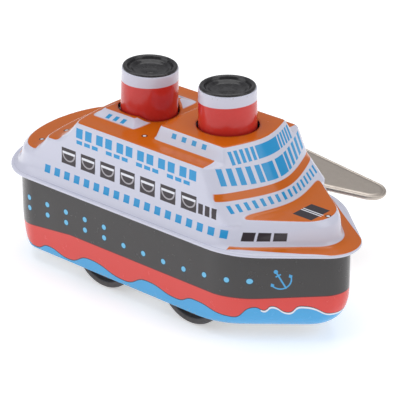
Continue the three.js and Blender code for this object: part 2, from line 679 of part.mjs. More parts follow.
for (const [name, axle] of [['front', FRONT_AXLE], ['rear', REAR_AXLE]]) {
  add(`${name}_axle`, 'motor_steel', rod(AXLE_RADIUS, [-WHEEL_OUTER - 0.5, WHEEL_OUTER + 0.5]), axle);
  add(`${name}_wheel_port`, 'wheel_plastic', wheel(1), axle);
  add(`${name}_wheel_starboard`, 'wheel_plastic', wheel(-1), axle);
}
add('eccentric', 'brass', eccentric(), REAR_AXLE);

// ---------- the whole boat, centred on its box ----------

const assembly = new THREE.Group();
boat.position.x = -(RIM.noseTip + RIM.sternTip) / 2;
boat.position.y = -(KEY_OUTER - RIM.halfBeam) / 2;
assembly.add(boat);

export default assembly;
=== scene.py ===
# %% [markdown]
# # A clockwork tinplate ocean liner
# The toy is two pressed sheets of printed tin, crimped together at the rim, over a spring motor.
# The frame below holds the mechanism, the joints and the overall sizes. This lesson makes what the
# eye sees: the pressed skins, the funnels, the key, the wheels, and the printing on them.

# %% Load the frame
import json
import math

import bmesh
import bpy
import numpy as np
from mathutils import Matrix, Vector


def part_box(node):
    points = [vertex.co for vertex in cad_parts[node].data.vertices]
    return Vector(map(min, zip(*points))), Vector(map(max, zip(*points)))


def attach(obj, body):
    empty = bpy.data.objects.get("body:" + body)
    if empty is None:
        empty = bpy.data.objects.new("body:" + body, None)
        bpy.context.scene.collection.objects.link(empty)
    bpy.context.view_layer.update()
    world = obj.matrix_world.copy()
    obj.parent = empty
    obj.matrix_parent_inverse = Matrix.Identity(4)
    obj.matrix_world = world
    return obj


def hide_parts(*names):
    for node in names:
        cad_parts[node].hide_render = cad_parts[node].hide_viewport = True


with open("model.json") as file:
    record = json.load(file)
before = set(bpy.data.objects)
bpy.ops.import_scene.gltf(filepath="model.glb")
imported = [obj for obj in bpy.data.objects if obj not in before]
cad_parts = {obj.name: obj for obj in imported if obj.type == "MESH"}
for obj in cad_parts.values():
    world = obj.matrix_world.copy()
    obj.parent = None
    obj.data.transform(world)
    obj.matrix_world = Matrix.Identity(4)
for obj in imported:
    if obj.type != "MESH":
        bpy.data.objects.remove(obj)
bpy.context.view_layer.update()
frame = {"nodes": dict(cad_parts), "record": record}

MM = 0.001
RIM = dict(tip=61, nose=10.4, bow=40.4, bend=25, half=25.75, stern=-64, centre=-45.75)
RIM_LOW, RIM_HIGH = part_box("superstructure")      # the rim is its longest and widest part
AHEAD = RIM_LOW.x - RIM["stern"] * MM
MIDDLE = (RIM_LOW.y + RIM_HIGH.y) / 2
print("frame:", len(frame["nodes"]), "nodes, middle plane at y =", round(MIDDLE / MM, 3), "mm")


# %% [markdown]
# ## Camera, floor and light
# Everything on the toy is measured in millimetres, forward from amidships and out from the middle
# plane, so one small function turns such a measure into a place in the scene. The camera stands
# off the starboard bow with a long lens, which keeps the boat's sides nearly parallel. Enamel
# looks glossy only when it has something soft and large to reflect, so three big area lights hang
# over a pale floor, which glows a little so that the shadow stays faint.

# %% Places, camera
def place(x, y, z):
    """A point in the scene, from millimetres forward, to port and up on the boat."""
    return Vector((x * MM + AHEAD, y * MM + MIDDLE, z * MM))


def node_box(node):
    """A node's lowest and highest corners in the boat's millimetres."""
    shift = Vector((AHEAD, MIDDLE, 0))
    return [(corner - shift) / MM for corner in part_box(node)]


VIEW_AZIMUTH = math.radians(42.0)
VIEW_ELEVATION = math.radians(24.37)
VIEW_DISTANCE = 629.8
VIEW_CENTRE = (-5.75, 0, 35.5)
FOCAL_LENGTH, SENSOR_WIDTH = 188.95, 36
PAN, TILT = 0.010193, 0.014052      # sets the boat a little off the middle of the view

back = Vector((
    math.sin(VIEW_AZIMUTH) * math.cos(VIEW_ELEVATION),
    -math.cos(VIEW_AZIMUTH) * math.cos(VIEW_ELEVATION),
    math.sin(VIEW_ELEVATION),
))
right = Vector((math.cos(VIEW_AZIMUTH), math.sin(VIEW_AZIMUTH), 0))
above = back.cross(right)

lens = bpy.data.cameras.new("camera")
lens.lens, lens.sensor_width = FOCAL_LENGTH, SENSOR_WIDTH
camera = bpy.data.objects.new("camera", lens)
camera.location = place(*VIEW_CENTRE) + back * VIEW_DISTANCE * MM
camera.rotation_euler = (PAN * right - TILT * above - back).to_track_quat("-Z", "Y").to_euler()
bpy.context.scene.collection.objects.link(camera)
bpy.context.scene.camera = camera
print("camera:", [round(v / MM) for v in camera.location], "mm")


# %% Floor and lights
FLOOR_SIZE, FLOOR_DROP = 6, 0.0002      # metres; the drop keeps the wheels clear of the paper
LIGHTS_AIM = (0, 0, 35)


def new_material(name):
    """A new material, its node tree and its Principled shader."""
    material = bpy.data.materials.new(name)
    material.use_nodes = True
    tree = material.node_tree
    return material, tree, tree.nodes["Principled BSDF"]


def floor():
    """A wide sheet of pale paper just below the wheels."""
    bpy.ops.mesh.primitive_plane_add(size=FLOOR_SIZE, location=(0, 0, -FLOOR_DROP))
    sweep = bpy.context.object
    sweep.name = "studio_floor"
    material, _, shader = new_material("pale_paper")
    shader.inputs["Base Color"].default_value = (0.92, 0.92, 0.925, 1)
    shader.inputs["Roughness"].default_value = 0.8
    shader.inputs["Emission Color"].default_value = (1, 1, 1, 1)
    shader.inputs["Emission Strength"].default_value = 0.45
    sweep.data.materials.append(material)


def soft_light(name, spot, size, power, colour=(1, 1, 1)):
    """A square light at a spot in millimetres, aimed at the boat; size in metres, power in watts."""
    light = bpy.data.lights.new(name, "AREA")
    light.shape, light.size, light.energy, light.color = "SQUARE", size, power, colour
    lamp = bpy.data.objects.new(name, light)
    lamp.location = place(*spot)
    aim = place(*LIGHTS_AIM) - lamp.location
    lamp.rotation_euler = aim.to_track_quat("-Z", "Y").to_euler()
    bpy.context.scene.collection.objects.link(lamp)


floor()
soft_light("overhead", (-60, 40, 700), 0.7, 2.5)
soft_light("port_bow", (650, 150, 420), 0.5, 1.1)
soft_light("starboard_quarter", (-420, -620, 380), 0.6, 1.6, (0.97, 0.98, 1))

world = bpy.data.worlds.new("studio")
world.use_nodes = True
world.node_tree.nodes["Background"].inputs["Color"].default_value = (0.96, 0.97, 1, 1)
world.node_tree.nodes["Background"].inputs["Strength"].default_value = 0.32
bpy.context.scene.world = world
bpy.context.scene.view_settings.view_transform = "Standard"
print("lights:", sorted(lamp.name for lamp in bpy.data.lights))


# %% [markdown]
# ## Writing shader sums
# Most of the toy's colour is printing, and printing is shape: rows of windows, dots, a wave. Each
# shape is a sum over the position on the metal. Adding Math nodes by hand is slow and hard to read,
# so a small class lets ordinary arithmetic build the nodes: a value knows its tree, and + or *
# adds a node to it.

# %% A value in a node tree
EDGE = 0.06         # half the width of a printed edge, in millimetres


class Amount:
    """A number that changes over the surface; arithmetic on it adds Math nodes to its tree."""

    def __init__(self, tree, socket):
        self.tree, self.socket = tree, socket

    def math(self, operation, *others):
        node = self.tree.nodes.new("ShaderNodeMath")
        node.operation = operation
        for slot, value in zip(node.inputs, (self, *others)):
            feed(self.tree, slot, value)
        return Amount(self.tree, node.outputs[0])

    def __add__(self, other):
        return self.math("ADD", other)

    def __sub__(self, other):
        return self.math("SUBTRACT", other)

    def __mul__(self, other):
        return self.math("MULTIPLY", other)

    def __truediv__(self, other):
        return self.math("DIVIDE", other)

    def __rsub__(self, other):
        return (self * -1) + other

    __radd__ = __add__

    def size(self):
        return self.math("ABSOLUTE")

    def least(self, other):
        return self.math("MINIMUM", other)

    def most(self, other):
        return self.math("MAXIMUM", other)

    def over(self, edge, soft=EDGE):
        """1 where this is more than the edge, 0 where it is less, with a soft line between."""
        node = self.tree.nodes.new("ShaderNodeMapRange")
        feed(self.tree, node.inputs["Value"], self - edge)
        node.inputs["From Min"].default_value = -soft
        node.inputs["From Max"].default_value = soft
        return Amount(self.tree, node.outputs["Result"])

    def under(self, edge, soft=EDGE):
        """The reverse of over: 1 below the edge and 0 above it."""
        return 1 - self.over(edge, soft)

    def between(self, low, high, soft=EDGE):
        """1 from the low edge to the high one, and 0 outside them."""
        return self.over(low, soft) * self.under(high, soft)


def feed(tree, slot, value):
    """Gives an input a plain number or colour, or the socket of an amount."""
    if isinstance(value, Amount):
        tree.links.new(value.socket, slot)
    elif isinstance(value, bpy.types.NodeSocket):
        tree.links.new(value, slot)
    else:
        slot.default_value = value


print("printed edge:", 2 * EDGE, "mm wide")


# %% Node groups and mixes
def start_group(name, inputs, outputs):
    """A shader node group from inputs of (name, kind, value) and outputs of (name, kind).

    Returns its tree, its inputs as amounts by name, and the node that takes its outputs.
    """
    tree = bpy.data.node_groups.new(name, "ShaderNodeTree")
    for label, kind, value in inputs:
        socket = tree.interface.new_socket(label, in_out="INPUT", socket_type="NodeSocket" + kind)
        if kind != "Vector":
            socket.default_value = value
    for label, kind in outputs:
        tree.interface.new_socket(label, in_out="OUTPUT", socket_type="NodeSocket" + kind)
    source = tree.nodes.new("NodeGroupInput")
    sink = tree.nodes.new("NodeGroupOutput")
    return tree, {label: Amount(tree, source.outputs[label]) for label, _, _ in inputs}, sink


def use_group(tree, group, **values):
    """Places a group in a tree and returns its first output; keywords are its input names."""
    node = tree.nodes.new("ShaderNodeGroup")
    node.node_tree = group
    for key, value in values.items():
        feed(tree, node.inputs[key], value)
    return Amount(tree, node.outputs[0])


def tint(tree, mask, under, over):
    """One colour laid over another where the mask is 1."""
    node = tree.nodes.new("ShaderNodeMix")
    node.data_type = "RGBA"
    feed(tree, node.inputs[0], mask)
    feed(tree, node.inputs[6], under)
    feed(tree, node.inputs[7], over)
    return Amount(tree, node.outputs[2])


def ink(red, green, blue):
    """An ink's colour from its printed shade, 0 to 255, as linear light."""
    def linear(value):
        value /= 255
        return value / 12.92 if value <= 0.04045 else ((value + 0.055) / 1.055) ** 2.4
    return (linear(red), linear(green), linear(blue), 1)


def noise(tree, position, scale, detail=2.0, roughness=0.5):
    """Blender's cloudy noise, from 0 to 1."""
    node = tree.nodes.new("ShaderNodeTexNoise")
    feed(tree, node.inputs["Vector"], position)
    feed(tree, node.inputs["Scale"], scale)
    node.inputs["Detail"].default_value = detail
    node.inputs["Roughness"].default_value = roughness
    return Amount(tree, node.outputs["Fac"])


# %% [markdown]
# ## Effects that several finishes share
# Rows of windows and round dots are printed all over the boat, and every enamelled sheet has the
# same slow waviness, fine grain and handling marks. Each is one node group with named inputs,
# placed wherever it is needed with its own values.

# %% Group: measure on the boat
def measure_group():
    """Turns object coordinates into the boat's millimetres: forward, to either side, up, to port."""
    tree, given, sink = start_group(
        "Boat measure", [("Position", "Vector", None)],
        [("Forward", "Float"), ("Aside", "Float"), ("Up", "Float"), ("To port", "Float"),
         ("Millimetres", "Vector")])
    split = tree.nodes.new("ShaderNodeSeparateXYZ")
    tree.links.new(given["Position"].socket, split.inputs[0])
    forward, port, up = (Amount(tree, s) * (1 / MM) for s in split.outputs)
    forward, port = forward - AHEAD / MM, port - MIDDLE / MM
    join = tree.nodes.new("ShaderNodeCombineXYZ")
    for slot, value in zip(join.inputs, (forward, port, up)):
        feed(tree, slot, value)
    for label, value in (("Forward", forward), ("Aside", port.size()), ("Up", up), ("To port", port)):
        feed(tree, sink.inputs[label], value)
    tree.links.new(join.outputs[0], sink.inputs["Millimetres"])
    return tree


MEASURE = measure_group()


def measures(tree):
    """Forward, aside, up and port distances in millimetres, the same as a vector, and the facing."""
    coordinates = tree.nodes.new("ShaderNodeTexCoord")
    node = tree.nodes.new("ShaderNodeGroup")
    node.node_tree = MEASURE
    tree.links.new(coordinates.outputs["Object"], node.inputs["Position"])
    forward, aside, up, port, vector = (Amount(tree, s) for s in node.outputs)
    facing = tree.nodes.new("ShaderNodeSeparateXYZ")
    tree.links.new(coordinates.outputs["Normal"], facing.inputs[0])
    return forward, aside, up, port, vector, [Amount(tree, s) for s in facing.outputs]


# %% Group: a row of windows
def window_row_group():
    """Equal rectangles in a row: where the first starts, their pitch, count, width and height."""
    names = ["Along", "Up", "First", "Pitch", "Count", "Width", "Bottom", "Top"]
    tree, given, sink = start_group(
        "Window row", [(label, "Float", 1.0) for label in names], [("Mask", "Float")])
    steps = (given["Along"] - given["First"]) / given["Pitch"]
    index = steps.math("FLOOR")
    within = (steps - index) * given["Pitch"]
    sideways = given["Width"] / 2 - (within - given["Width"] / 2).size()
    height = given["Top"] - given["Bottom"]
    upright = height / 2 - (given["Up"] - given["Bottom"] - height / 2).size()
    counted = index.over(-0.5, 0.01) * index.under(given["Count"] - 0.5, 0.01)
    feed(tree, sink.inputs["Mask"], sideways.least(upright).over(0.0) * counted)
    return tree


WINDOW_ROW = window_row_group()


def window_row(tree, along, up, first, pitch, count, width, bottom, top):
    return use_group(tree, WINDOW_ROW, Along=along, Up=up, First=first, Pitch=pitch, Count=count,
                     Width=width, Bottom=bottom, Top=top)


# %% Group: a round dot
def dot_group():
    """A disc at a place along and up, with a soft edge."""
    tree, given, sink = start_group(
        "Dot", [(label, "Float", 0.0) for label in ("Along", "Up", "At", "Height", "Radius")],
        [("Mask", "Float")])
    across, upward = given["Along"] - given["At"], given["Up"] - given["Height"]
    reach = (across * across + upward * upward).math("SQRT")
    feed(tree, sink.inputs["Mask"], reach.under(given["Radius"], 0.08))
    return tree


DOT = dot_group()


def dot(tree, along, up, at, height, radius):
    return use_group(tree, DOT, Along=along, Up=up, At=at, Height=height, Radius=radius)


# %% Group: enamelled tin
def sheet_group():
    """Slow waves of pressed sheet with a fine grain of print, and gloss dulled by handling."""
    tree, given, sink = start_group(
        "Pressed sheet",
        [("Position", "Vector", None), ("Waviness", "Float", 1.0), ("Gloss", "Float", 0.25)],
        [("Height", "Float"), ("Roughness", "Float")])
    slow = noise(tree, given["Position"], 0.09, 1.0)
    fine = noise(tree, given["Position"], 2.6, 3.0)
    smear = noise(tree, given["Position"], 0.35, 4.0, 0.65)
    feed(tree, sink.inputs["Height"], slow * given["Waviness"] + fine * 0.03)
    feed(tree, sink.inputs["Roughness"], given["Gloss"] + (smear - 0.5) * 0.22 + (fine - 0.5) * 0.05)
    return tree


# %% Group: chips and specks
def chip_group():
    """Small flecks where enamel has come off; more of them where the wear input is high."""
    tree, given, sink = start_group(
        "Chips", [("Position", "Vector", None), ("Wear", "Float", 0.0), ("Size", "Float", 1.4)],
        [("Mask", "Float")])
    rough = noise(tree, given["Position"], given["Size"], 6.0, 0.7)
    feed(tree, sink.inputs["Mask"], (rough + given["Wear"] * 0.2).over(0.79, 0.02))
    return tree


# %% Group: rolled metal
def metal_group():
    """Rolled sheet metal: streaks along the boat, cloudy tarnish, and a fine uneven surface."""
    tree, given, sink = start_group(
        "Rolled metal", [("Position", "Vector", None), ("Polish", "Float", 0.3)],
        [("Height", "Float"), ("Roughness", "Float"), ("Tarnish", "Float")])
    stretch = tree.nodes.new("ShaderNodeMapping")
    stretch.inputs["Scale"].default_value = (0.12, 2.2, 2.2)
    tree.links.new(given["Position"].socket, stretch.inputs["Vector"])
    streaks = noise(tree, stretch.outputs[0], 2.0, 4.0, 0.6)
    clouds = noise(tree, given["Position"], 0.22, 4.0, 0.6)
    feed(tree, sink.inputs["Height"], streaks * 0.6)
    feed(tree, sink.inputs["Roughness"], given["Polish"] + streaks * 0.18 + (clouds - 0.5) * 0.3)
    feed(tree, sink.inputs["Tarnish"], clouds)
    return tree


SHEET, CHIPS, ROLLED = sheet_group(), chip_group(), metal_group()
print("groups:", sorted(g.name for g in bpy.data.node_groups))


# %% Bump and enamel
SHEET_BUMP = 0.16


def bump(tree, shader, height, distance):
    """Feeds a height to the shader's normal; distance is how deep a height of 1 is, in mm."""
    node = tree.nodes.new("ShaderNodeBump")
    node.inputs["Distance"].default_value = distance * MM
    feed(tree, node.inputs["Height"], height)
    tree.links.new(node.outputs[0], shader.inputs["Normal"])


def enamel(name, paint, waviness=1.0, gloss=0.22):
    """Glossy enamel over tin; paint(tree) returns the printed colour and the place in millimetres."""
    material, tree, shader = new_material(name)
    colour, vector = paint(tree)
    feed(tree, shader.inputs["Base Color"], colour)
    sheet = tree.nodes.new("ShaderNodeGroup")
    sheet.node_tree = SHEET
    tree.links.new(vector.socket, sheet.inputs["Position"])
    sheet.inputs["Waviness"].default_value = waviness
    sheet.inputs["Gloss"].default_value = gloss
    tree.links.new(sheet.outputs["Roughness"], shader.inputs["Roughness"])
    bump(tree, shader, sheet.outputs["Height"], SHEET_BUMP)
    shader.inputs["Coat Weight"].default_value = 0.25
    shader.inputs["Coat Roughness"].default_value = 0.06
    shader.inputs["Specular IOR Level"].default_value = 0.35
    return material


# %% [markdown]
# ## The superstructure's printing
# On the real toy the sheet is printed flat, varnished, and only then pressed, so the print follows
# the steps of the pressing: orange on whatever lies flat, white on the walls, windows in rows. The
# same logic is used here. The way a face looks up tells deck from wall, and rows of windows are set
# out in millimetres along the side or across the front.

# %% Inks
WHITE = ink(214, 215, 231)
ORANGE = ink(208, 102, 10)
WINDOW_BLUE = ink(40, 154, 214)
WINDOW_DARK = ink(52, 44, 50)
HULL_BLACK = ink(62, 60, 60)
HULL_RED = ink(226, 72, 66)
SEA_BLUE = ink(78, 172, 228)
LINE_DARK = ink(40, 52, 60)
FOAM = ink(236, 238, 246)
LIFEBOAT_GREY = ink(176, 172, 178)
PIN_RING = ink(92, 52, 30)
BARE_TIN = ink(150, 148, 150)
print("white in linear light:", [round(v, 3) for v in WHITE[:3]])


# %% Side walls
BOATS_FIRST, BOATS_PITCH, BOATS_COUNT = -33.0, 8.0, 7      # the row of lifeboats in dark squares
BOATS_WIDTH, BOATS_BOTTOM, BOATS_TOP = 5.9, 37.7, 42.7
CANOPY_FOOT = 40.85


def boat_squares(tree, forward, up):
    """The dark squares that the lifeboats are drawn in."""
    return window_row(tree, forward, up, BOATS_FIRST, BOATS_PITCH, BOATS_COUNT, BOATS_WIDTH,
                      BOATS_BOTTOM, BOATS_TOP)


def side_windows(tree, forward, up):
    """Prints of a side wall: all its blue windows, the lifeboats' squares, and narrow dark doors."""
    tall = window_row(tree, forward, up, -27.2, 8.24, 6, 2.7, 47.2, 50.3)
    tall = tall.most(window_row(tree, forward, up, -23.5, 8.24, 6, 2.7, 47.2, 50.3))
    for dash in range(3):
        row = window_row(tree, forward, up, -27.0 + 3.2 * dash, 12.1, 4, 2.4, 45.3, 46.5)
        tall = tall.most(row)
    squares = window_row(tree, forward, up, -39.5, 4.08, 18, 2.3, 33.0, 35.4)
    boats = boat_squares(tree, forward, up)
    narrow = window_row(tree, forward, up, 21.6, 2.5, 3, 1.8, 37.9, 41.1)
    return tall.most(squares), boats, narrow


def lifeboats(tree, forward, up):
    """White canopy bar and the U of each hull, drawn inside the dark squares."""
    bars = window_row(tree, forward, up, BOATS_FIRST + 0.35, BOATS_PITCH, BOATS_COUNT, 5.2,
                      CANOPY_FOOT, 41.6)
    steps = (forward - BOATS_FIRST) / BOATS_PITCH
    across = (steps - steps.math("FLOOR")) * BOATS_PITCH - BOATS_WIDTH / 2
    down = CANOPY_FOOT - up
    reach = ((across * across) / 6.0 + (down * down) / 4.6).math("SQRT")
    bowl = reach.between(0.86, 1.06, 0.03) * down.over(-0.1) * across.size().under(3.0)
    return bars, bowl * boat_squares(tree, forward, up)


print("lifeboats:", BOATS_COUNT, "a side, every", BOATS_PITCH, "mm")


# %% Front, decks and ledge
PIN_HEADS = ((-48.4, 15.1), (-38.1, 14.6), (-5.5, 15.0), (51.2, 0.0))      # forward and aside
PIN_RADIUS, RING_RADIUS = 0.5, 0.95
FOREDECK = (37.5, 40)      # between these heights the foredeck lies


def front_prints(tree, forward, aside, up, port):
    """Blue windows and the orange band of the swept front."""
    level = up - aside * aside * 0.0043
    bridge = window_row(tree, aside, up, 5.3, 1.74, 5, 1.1, 51.3, 54.9)
    bridge = bridge.most(aside.under(4.75) * up.between(51.3, 54.9))
    saloon = window_row(tree, aside, level, 5.4, 2.85, 5, 1.7, 45.2, 49.9)
    saloon = saloon.most(window_row(tree, aside, level, 0.5, 9.0, 1, 4.3, 45.2, 49.9))
    lounge = window_row(tree, port, up, -19.7, 2.5, 16, 1.15, 39.9, 41.8)
    band = up.between(42.35 + aside * aside * 0.0012, 44.35 + aside * aside * 0.001, 0.08)
    band = band * aside.under(21.4) * forward.over(24)
    return bridge.most(saloon).most(lounge), band


def deck_prints(tree, forward, aside, up, port):
    """Hatch with two white lines on the foredeck, and the pins' white heads with dark rings."""
    hatch = forward.between(42.6, 49.4) * port.between(-5.4, 3.2) * up.between(*FOREDECK)
    lines = forward.between(42.6, 49.9) * (port + 1.0).size().between(0.25, 0.7)
    heads, rings = None, None
    for x, y in PIN_HEADS:
        head = dot(tree, forward, aside, x, y, PIN_RADIUS)
        ring = dot(tree, forward, aside, x, y, RING_RADIUS)
        heads = head if heads is None else heads.most(head)
        rings = ring if rings is None else rings.most(ring)
    return hatch, lines * up.between(*FOREDECK), heads, rings


def ledge_orange(forward, aside):
    """Orange on the ledge round the bow, narrowing aft, and a little at the stern."""
    flank = 43.17 - (forward * 0.648 + aside * 0.7615)
    bow = flank.over((60 - forward) * 0.13, 0.08) * forward.over(33.5)
    across = (forward - RIM["centre"]) / (RIM["centre"] - RIM["stern"])
    abeam = aside / RIM["half"]
    stern = (across * across + abeam * abeam).math("SQRT")
    stern = stern.under(1 - aside * 0.0065, 0.01) * forward.under(-51.5) * aside.under(22.5)
    return bow.most(stern)


print("pin heads:", len(PIN_HEADS), "places, mirrored where they stand off the middle")


# %% Superstructure enamel
FUNNELS = {
    name: dict(box=node_box(name), lean=lean)
    for name, lean in (("front_funnel", -0.6), ("rear_funnel", 2.4))
}
for each in FUNNELS.values():
    each["x"] = (each["box"][0].x + each["box"][1].x) / 2
COLLAR_RADIUS = 10.2      # orange deck round each funnel's hole


def superstructure_paint(tree):
    """The whole print of the superstructure, one ink over another."""
    forward, aside, up, port, vector, (_, sideways, skyward) = measures(tree)
    wobble = (noise(tree, vector, 1.1, 2.0) - 0.5) * 0.12
    flat = skyward.over(0.84, 0.03)
    side = sideways.size().over(0.55, 0.05) * aside.over(18)
    front = forward.over(20.5) * sideways.size().under(0.72, 0.05) * aside.under(21.5)

    blue, boats, narrow = side_windows(tree, forward + wobble, up + wobble)
    bars, bowls = lifeboats(tree, forward, up)
    front_blue, band = front_prints(tree, forward, aside, up, port)
    hatch, lines, heads, rings = deck_prints(tree, forward, aside, up, port)
    bow_row = window_row(tree, forward, up, 35.7, 3.45, 3, 2.9, 32.8, 35.2)
    fore_house = window_row(tree, forward, up, 4.7, 3.85, 4, 1.7, 53.9, 55.3)
    aft_house = window_row(tree, forward, up, -22.8, 2.95, 3, 1.5, 52.3, 53.0)
    houses = (fore_house.most(aft_house) * aside.under(16.5)) * sideways.size().over(0.2, 0.05)

    open_deck = forward.under(22.3).most(up.under(FOREDECK[1])).most(up.over(54.5))
    deck = flat * up.over(36.5) * open_deck
    house_slope = forward.between(-28, -6.8) * up.over(51.95, 0.08) * skyward.under(0.97, 0.01)
    for each in FUNNELS.values():
        ahead = forward - each["x"]
        collar = (ahead * ahead + aside * aside).under(COLLAR_RADIUS ** 2, 2.0) * up.over(51.5)
        deck, house_slope = deck.most(collar), house_slope * (1 - collar)
    deck = deck * (1 - house_slope * aside.under(19.5))
    ledge = ledge_orange(forward, aside) * up.under(31.7) * skyward.over(0.8, 0.06)
    colour = tint(tree, deck.most(ledge).most(band * front), WHITE, ORANGE)
    colour = tint(tree, (blue * side).most(front_blue * front).most(houses), colour, WINDOW_BLUE)
    dark = (boats.most(narrow) * side).most(bow_row * aside.over(9) * (1 - flat))
    colour = tint(tree, dark.most(hatch * flat), colour, WINDOW_DARK)
    colour = tint(tree, (bars * side).most(lines * flat), colour, FOAM)
    colour = tint(tree, bowls * side, colour, LIFEBOAT_GREY)
    colour = tint(tree, rings * flat * (1 - heads), colour, PIN_RING)
    colour = tint(tree, heads * flat, colour, FOAM)
    chips = use_group(tree, CHIPS, Position=vector, Wear=up.under(32.2, 0.4) * 0.5, Size=1.3)
    return tint(tree, chips * 0.7, colour, BARE_TIN), vector


WHITE_TIN = enamel("printed_superstructure", superstructure_paint)
print("superstructure paint:", len(WHITE_TIN.node_tree.nodes), "nodes")


# %% [markdown]
# ## The hull's printing
# Black topsides over a red boot, with a blue sea along the foot. The sea's edge is one curve. Its
# crests and troughs were measured, and a separate projection sum put most of them on the hull's
# side. A Float Curve node joins them smoothly, and comparing the height on the hull with that
# curve gives the blue. The anchor is a stroke drawing: each stroke is a band round a line or an
# arc, and the strokes are laid over each other.

# %% Sea line
SEA_LINE = [      # forward, and up
    (-64, 6.8), (-52, 6.6), (-45, 5.4), (-40, 7.3), (-31.1, 5.7), (-22.4, 8.7), (-7.5, 6.3),
    (1.3, 9.4), (13.5, 7.6), (19.8, 9.7), (33.4, 8.1), (40, 12.4), (41.7, 11.4), (43.6, 12.9),
    (46.9, 10.7), (49.9, 13.0), (55.7, 10.3), (64, 9.0),
]
SEA_SPAN = (-64, 64)
SEA_RANGE = 16.0


def sea_height(tree, forward):
    """The height of the sea's edge at each place along the boat."""
    node = tree.nodes.new("ShaderNodeFloatCurve")
    curve = node.mapping.curves[0]
    width = SEA_SPAN[1] - SEA_SPAN[0]
    points = [((x - SEA_SPAN[0]) / width, z / SEA_RANGE) for x, z in SEA_LINE]
    curve.points[0].location, curve.points[1].location = points[0], points[-1]
    for point in points[1:-1]:
        curve.points.new(*point)
    node.mapping.update()
    feed(tree, node.inputs["Value"], (forward - SEA_SPAN[0]) / width)
    return Amount(tree, node.outputs[0]) * SEA_RANGE


print("sea line:", len(SEA_LINE), "points")


# %% Anchor
FLANK = (0.7615, 0.648)             # the bow flank's direction: forward, and in towards the middle
ANCHOR_HEAD = (24.3, 24.0)          # along the bow flank, and up
ANCHOR_LEAN = math.radians(30)
ANCHOR_LENGTH = 6.1


def anchor(forward, aside, up):
    """A plain anchor on the bow flank: shank, stock, ring and curved arms with barbs."""
    along = forward * FLANK[0] - aside * FLANK[1] - ANCHOR_HEAD[0]
    fall = ANCHOR_HEAD[1] - up
    sine, cosine = math.sin(ANCHOR_LEAN), math.cos(ANCHOR_LEAN)
    down = along * sine + fall * cosine         # along the shank, from the ring
    across = (along * cosine - fall * sine).size()
    shank = across.under(0.24) * down.between(0.5, ANCHOR_LENGTH)
    stock = across.under(0.85) * (down - 1.4).size().under(0.2)
    ring = (across * across + down * down).math("SQRT").under(0.62)
    bowl = (across * across + (down - 2.7) * (down - 2.7)).math("SQRT")
    arms = bowl.between(2.9, 3.3) * down.over(3.2)
    barb_side = (across - 2.95).size()
    barbs = (barb_side + (down - 3.3).size() * 0.8).under(0.6) * down.under(4.0)
    return shank.most(stock).most(ring).most(arms).most(barbs)


print("anchor:", ANCHOR_LENGTH, "mm long")


# %% Hull enamel
PORT_FIRST, PORT_PITCH, PORT_COUNT, UPPER_COUNT = -47.3, 7.95, 12, 5
PORT_LOWER, PORT_UPPER = 18.2, 21.7      # heights of the two rows
PORT_GLASS, PORT_RIM = 0.82, 1.12        # radii of the glass and of its dark rim


def portholes(tree, forward, up):
    """Two rows of round ports; the lower row sheers up a little at the bow."""
    steps = (forward - PORT_FIRST + PORT_PITCH / 2) / PORT_PITCH
    index = steps.math("FLOOR")
    across = (steps - index) * PORT_PITCH - PORT_PITCH / 2
    last_shift = index.over(PORT_COUNT - 1.5, 0.1) * 1.55      # the last port stands further aft
    across = across + last_shift
    sheer = (forward - 14).most(0) * 0.105
    glass = dot(tree, across, up - sheer, 0, PORT_LOWER, PORT_GLASS)
    rim = dot(tree, across, up - sheer, 0, PORT_LOWER, PORT_RIM)
    doubled = index.under(UPPER_COUNT - 0.5, 0.1)
    glass = glass.most(dot(tree, across, up, 0, PORT_UPPER, PORT_GLASS) * doubled)
    rim = rim.most(dot(tree, across, up, 0, PORT_UPPER, PORT_RIM) * doubled)
    counted = index.over(-0.5, 0.1) * index.under(PORT_COUNT - 0.5, 0.1)
    return glass * counted, rim * counted


def hull_paint(tree):
    """The whole print of the hull, one ink over another."""
    forward, aside, up, _, vector, _ = measures(tree)
    boot = 14.5 + (forward - 28).most(0) * 0.07 - (0 - forward - 30).most(0) * 0.11
    sea = sea_height(tree, forward)
    glass, rim = portholes(tree, forward, up)
    sides = aside.over(6)
    colour = tint(tree, up.under(boot), HULL_BLACK, HULL_RED)
    colour = tint(tree, (up - boot).size().under(0.14), colour, ink(96, 40, 40))
    colour = tint(tree, rim * sides, colour, ink(38, 58, 74))
    colour = tint(tree, glass * sides, colour, ink(112, 196, 238))
    colour = tint(tree, anchor(forward, aside, up) * sides, colour, SEA_BLUE)
    colour = tint(tree, up.under(sea + 0.16), colour, LINE_DARK)
    colour = tint(tree, up.under(sea - 0.14), colour, SEA_BLUE)
    foam = forward.over(41.0) * (sea - up).between(0.12, 0.75)
    colour = tint(tree, foam, colour, FOAM)
    edge = up.over(28.0, 1.2).most(up.under(6.0, 0.5))
    chips = use_group(tree, CHIPS, Position=vector, Wear=edge, Size=1.8)
    return tint(tree, chips, colour, ink(168, 166, 166)), vector


HULL_TIN = enamel("printed_hull", hull_paint, waviness=1.6, gloss=0.24)
print("hull paint:", len(HULL_TIN.node_tree.nodes), "nodes")


# %% [markdown]
# ## Pressed skins
# Both skins start as outlines: a boat shape that is a pointed bow with a round nose, parallel sides
# and an elliptical stern. Stacking outlines gives a loft. The hull needs only that. The
# superstructure is a rim with five blocks stacked on it, and pressing rounds every step, so its
# lofts are melted together by a voxel remesh and then relaxed: a few passes everywhere soften the
# outward edges, and many passes that only fill make the wide inward curves that a punch leaves.

# %% Outline of a boat
NOSE_STEPS, BEND_STEPS, STERN_STEPS = 8, 10, 24


